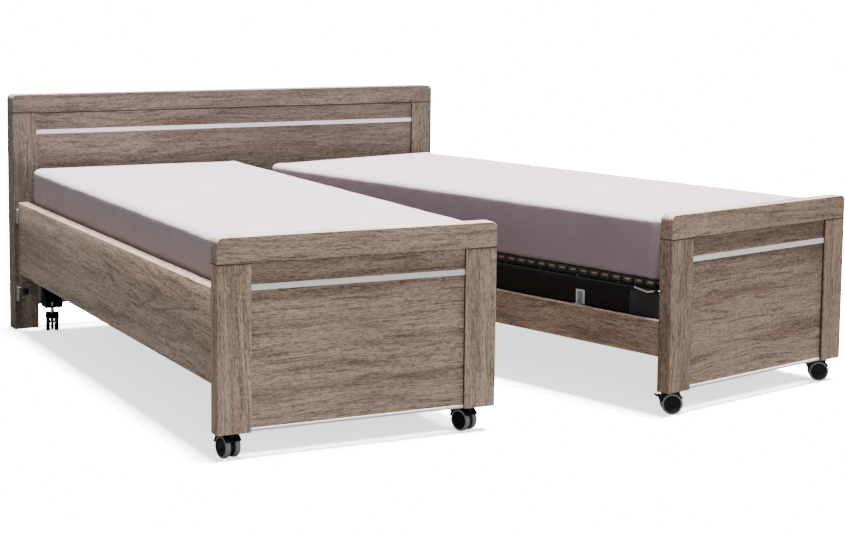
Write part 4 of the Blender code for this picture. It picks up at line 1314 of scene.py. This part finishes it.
def unique_block():
    """The mattress grid with shared points merged, and the length of the bed each face is in."""
    size = sizes()
    low, high = MATTRESS_LOW, MATTRESS_HIGH
    xs = spaced(low[0], high[0], size.mattress_mesh, size.mattress_corner)
    cuts = (SEAT_MIDDLE_Y, THIGH_MIDDLE_Y)
    ys = spaced(low[1], high[1], size.mattress_mesh, size.mattress_corner, cuts)
    zs = spaced(low[2], high[2], size.mattress_mesh, size.mattress_edge)
    points, faces = block_surface(xs, ys, zs)
    keys = np.round(points * 1e6).astype(np.int64)
    _, first, back = np.unique(keys, axis=0, return_index=True, return_inverse=True)
    points, faces = points[first], back.reshape(-1)[faces]
    return points, faces, points[faces].mean(axis=1)[:, 1]


def closed_length(name, points, faces, place, finish):
    """One length of the mattress with its cut ends closed, as an object with no parent."""
    used, back = np.unique(faces, return_inverse=True)
    mesh = bpy.data.meshes.new(name)
    mesh.from_pydata(place.put(points[used]).tolist(), [], back.reshape(faces.shape).tolist())
    work = bmesh.new()
    work.from_mesh(mesh)
    bmesh.ops.holes_fill(work, edges=[e for e in work.edges if e.is_boundary], sides=0)
    bmesh.ops.recalc_face_normals(work, faces=work.faces)
    work.to_mesh(mesh)
    work.free()
    return finished(name, mesh, finish, 60.0)


def build_mattresses():
    """Both mattresses from one settled sheet, each in three lengths."""
    points, faces, middle = unique_block()
    points = settled(mattress_points(points), faces.tolist())
    head, leg = middle > SEAT_MIDDLE_Y, middle < THIGH_MIDDLE_Y
    bends = (
        ("head", head, "back", "bed", -0.445, SEAT_MIDDLE_Y, ("back", "seat")),
        ("seat", ~head & ~leg, "bed", "thigh", SEAT_MIDDLE_Y, THIGH_MIDDLE_Y, ("thigh",)),
        ("leg", leg, "thigh", "calf", THIGH_MIDDLE_Y, -1.435, ("calf",)),
    )
    for side in SIDES:
        place, finish = bed_place(side), sheet_finish(side)
        for name, chosen, first, second, start, end, nodes in bends:
            sheet = f"fitted_sheet_{name}_{side}"
            made = closed_length(sheet, points, faces[chosen], place, finish)
            a, b = place.put([(0.0, start, 0.0), (0.0, end, 0.0)])
            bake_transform(made)
            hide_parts(*[f"mattress_{node}_{side}" for node in nodes])


# ------------------------------------------------------------------ stage


def area_light(name, location, target, size, power):
    """A rectangular light that faces a target."""
    light = bpy.data.lights.new(name, "AREA")
    light.shape = "RECTANGLE"
    light.size, light.size_y = size
    light.energy = power
    made = linked(name, light)
    made.location = location
    made.rotation_euler = (Vector(target) - Vector(location)).to_track_quat("-Z", "Y").to_euler()


def build_stage():
    """A wide pale floor, a pale sky, a broad sun from above, a soft light at the front and the
    camera at the foot of the left bed. Floor and sky show brighter than the light they give."""
    mesh = bpy.data.meshes.new("studio_floor")
    low, high = -FLOOR_REACH, FLOOR_REACH
    mesh.from_pydata([(low, low, 0), (high, low, 0), (high, high, 0), (low, high, 0)], [], [(0, 1, 2, 3)])
    floor = linked("studio_floor", mesh)
    floor_finish = bpy.data.materials.new("studio_floor")
    floor_finish.use_nodes = True
    net = Net(floor_finish.node_tree)
    net.tree.nodes.clear()
    seen = net.add("ShaderNodeLightPath").outputs["Is Camera Ray"]
    pale = net.mix(seen, FLOOR_BOUNCE, FLOOR_SEEN)
    cover = net.add("ShaderNodeBsdfDiffuse", {"Color": pale}).outputs[0]
    lift = net.math("MULTIPLY", seen, FLOOR_LIFT)
    glow = net.add("ShaderNodeEmission", {"Color": WHITE, "Strength": lift}).outputs[0]
    both = net.add("ShaderNodeAddShader", {0: cover, 1: glow}).outputs[0]
    net.add("ShaderNodeOutputMaterial", {"Surface": both})
    mesh.materials.append(floor_finish)
    world = bpy.data.worlds.new("studio")
    bpy.context.scene.world = world
    world.use_nodes = True
    sky = Net(world.node_tree)
    sky.tree.nodes.clear()
    seen = sky.add("ShaderNodeLightPath").outputs["Is Camera Ray"]
    strength = sky.spread(seen, 0.0, 1.0, SKY_LIGHT, SKY_SEEN)
    air = sky.add("ShaderNodeBackground", {"Color": WHITE, "Strength": strength}).outputs[0]
    sky.add("ShaderNodeOutputWorld", {"Surface": air})
    sun = bpy.data.lights.new("overhead", "SUN")
    sun.energy = OVERHEAD
    sun.angle = math.radians(OVERHEAD_SPREAD_DEG)
    above = linked("overhead", sun)
    above.rotation_euler = (math.radians(-1.0), math.radians(OVERHEAD_TILT_DEG), 0.0)
    area_light("front", FRONT_AT, FRONT_AIM, FRONT_SIZE, FRONT_W)
    camera = linked("camera", bpy.data.cameras.new("camera"))
    bpy.context.scene.camera = camera
    pan, tilt, roll = (math.radians(a) for a in CAMERA_PAN_TILT_ROLL_DEG)
    ahead = Vector((math.sin(pan) * math.cos(tilt), math.cos(pan) * math.cos(tilt), math.sin(tilt)))
    right = Vector((math.cos(pan), -math.sin(pan), 0.0))
    up = right.cross(ahead)
    rolled_right = math.cos(roll) * right + math.sin(roll) * up
    rolled_up = -math.sin(roll) * right + math.cos(roll) * up
    turn = Matrix((rolled_right, rolled_up, -ahead)).transposed()
    camera.matrix_world = Matrix.Translation(CAMERA_AT) @ turn.to_4x4()
    camera.data.lens = CAMERA_LENS
    camera.data.sensor_width = 36.0
    camera.data.shift_y = CAMERA_SHIFT
    camera.data.clip_end = 200.0


# ------------------------------------------------------------------ operators


def for_both(build):
    for side in SIDES:
        build(side)
    return {"FINISHED"}


class CAREBED_OT_headboard(bpy.types.Operator):
    """Finish the headboard's posts, rail, panel and inlay"""

    bl_idname = "carebed.headboard"
    bl_label = "Headboard"

    def execute(self, context):
        dress_headboard()
        return {"FINISHED"}


class CAREBED_OT_footboards(bpy.types.Operator):
    """Finish both footboards and tape their panels"""

    bl_idname = "carebed.footboards"
    bl_label = "Footboards"

    def execute(self, context):
        return for_both(dress_footboard)


class CAREBED_OT_rails(bpy.types.Operator):
    """Build the outer rails and finish the inner rails"""

    bl_idname = "carebed.rails"
    bl_label = "Side rails"

    def execute(self, context):
        return for_both(dress_rails)


class CAREBED_OT_hinges(bpy.types.Operator):
    """Build the swing hinges at the headboard"""

    bl_idname = "carebed.hinges"
    bl_label = "Swing hinges"

    def execute(self, context):
        return for_both(build_hinges)


class CAREBED_OT_base(bpy.types.Operator):
    """Build the steel bases"""

    bl_idname = "carebed.base"
    bl_label = "Steel bases"

    def execute(self, context):
        return for_both(build_base)


class CAREBED_OT_fittings(bpy.types.Operator):
    """Build corner caps, brackets and clips"""

    bl_idname = "carebed.fittings"
    bl_label = "Small fittings"

    def execute(self, context):
        return for_both(build_beam_fittings)


class CAREBED_OT_slats(bpy.types.Operator):
    """Build the slatted sections"""

    bl_idname = "carebed.slats"
    bl_label = "Slatted sections"

    def execute(self, context):
        return for_both(build_sections)


class CAREBED_OT_drives(bpy.types.Operator):
    """Build the drive units"""

    bl_idname = "carebed.drives"
    bl_label = "Drive units"

    def execute(self, context):
        return for_both(build_drive)


class CAREBED_OT_castors(bpy.types.Operator):
    """Build the castors"""

    bl_idname = "carebed.castors"
    bl_label = "Castors"

    def execute(self, context):
        for side in SIDES:
            for spot in CASTORS:
                build_castor(spot, side)
        return {"FINISHED"}


class CAREBED_OT_mattresses(bpy.types.Operator):
    """Build the mattresses in their fitted sheets"""

    bl_idname = "carebed.mattresses"
    bl_label = "Mattresses"

    def execute(self, context):
        build_mattresses()
        return {"FINISHED"}


class CAREBED_OT_stage(bpy.types.Operator):
    """Build the floor, light and camera"""

    bl_idname = "carebed.stage"
    bl_label = "Stage"

    def execute(self, context):
        build_stage()
        return {"FINISHED"}


OPERATORS = (
    CAREBED_OT_headboard, CAREBED_OT_footboards, CAREBED_OT_rails, CAREBED_OT_hinges, CAREBED_OT_base,
    CAREBED_OT_fittings, CAREBED_OT_slats, CAREBED_OT_drives, CAREBED_OT_castors, CAREBED_OT_mattresses,
    CAREBED_OT_stage,
)


class CAREBED_PT_panel(bpy.types.Panel):
    """Sidebar panel with the bed's colours, sizes and pieces"""

    bl_idname = "CAREBED_PT_panel"
    bl_label = "Care bed"
    bl_space_type = "VIEW_3D"
    bl_region_type = "UI"
    bl_category = "Care Bed"

    def draw(self, context):
        layout = self.layout
        for group in (context.scene.care_bed_colours, context.scene.care_bed_sizes):
            for key in group.__annotations__:
                layout.prop(group, key)
        for operator in OPERATORS:
            layout.operator(operator.bl_idname)


CLASSES = (CareBedColours, CareBedSizes, *OPERATORS, CAREBED_PT_panel)


def register():
    for item in CLASSES:
        bpy.utils.register_class(item)
    bpy.types.Scene.care_bed_colours = bpy.props.PointerProperty(type=CareBedColours)
    bpy.types.Scene.care_bed_sizes = bpy.props.PointerProperty(type=CareBedSizes)


def unregister():
    del bpy.types.Scene.care_bed_sizes
    del bpy.types.Scene.care_bed_colours
    for item in reversed(CLASSES):
        bpy.utils.unregister_class(item)


def main():
    register()
    for operator in OPERATORS:
        group, name = operator.bl_idname.split(".")
        getattr(getattr(bpy.ops, group), name)()


if __name__ == "__main__":
    main()
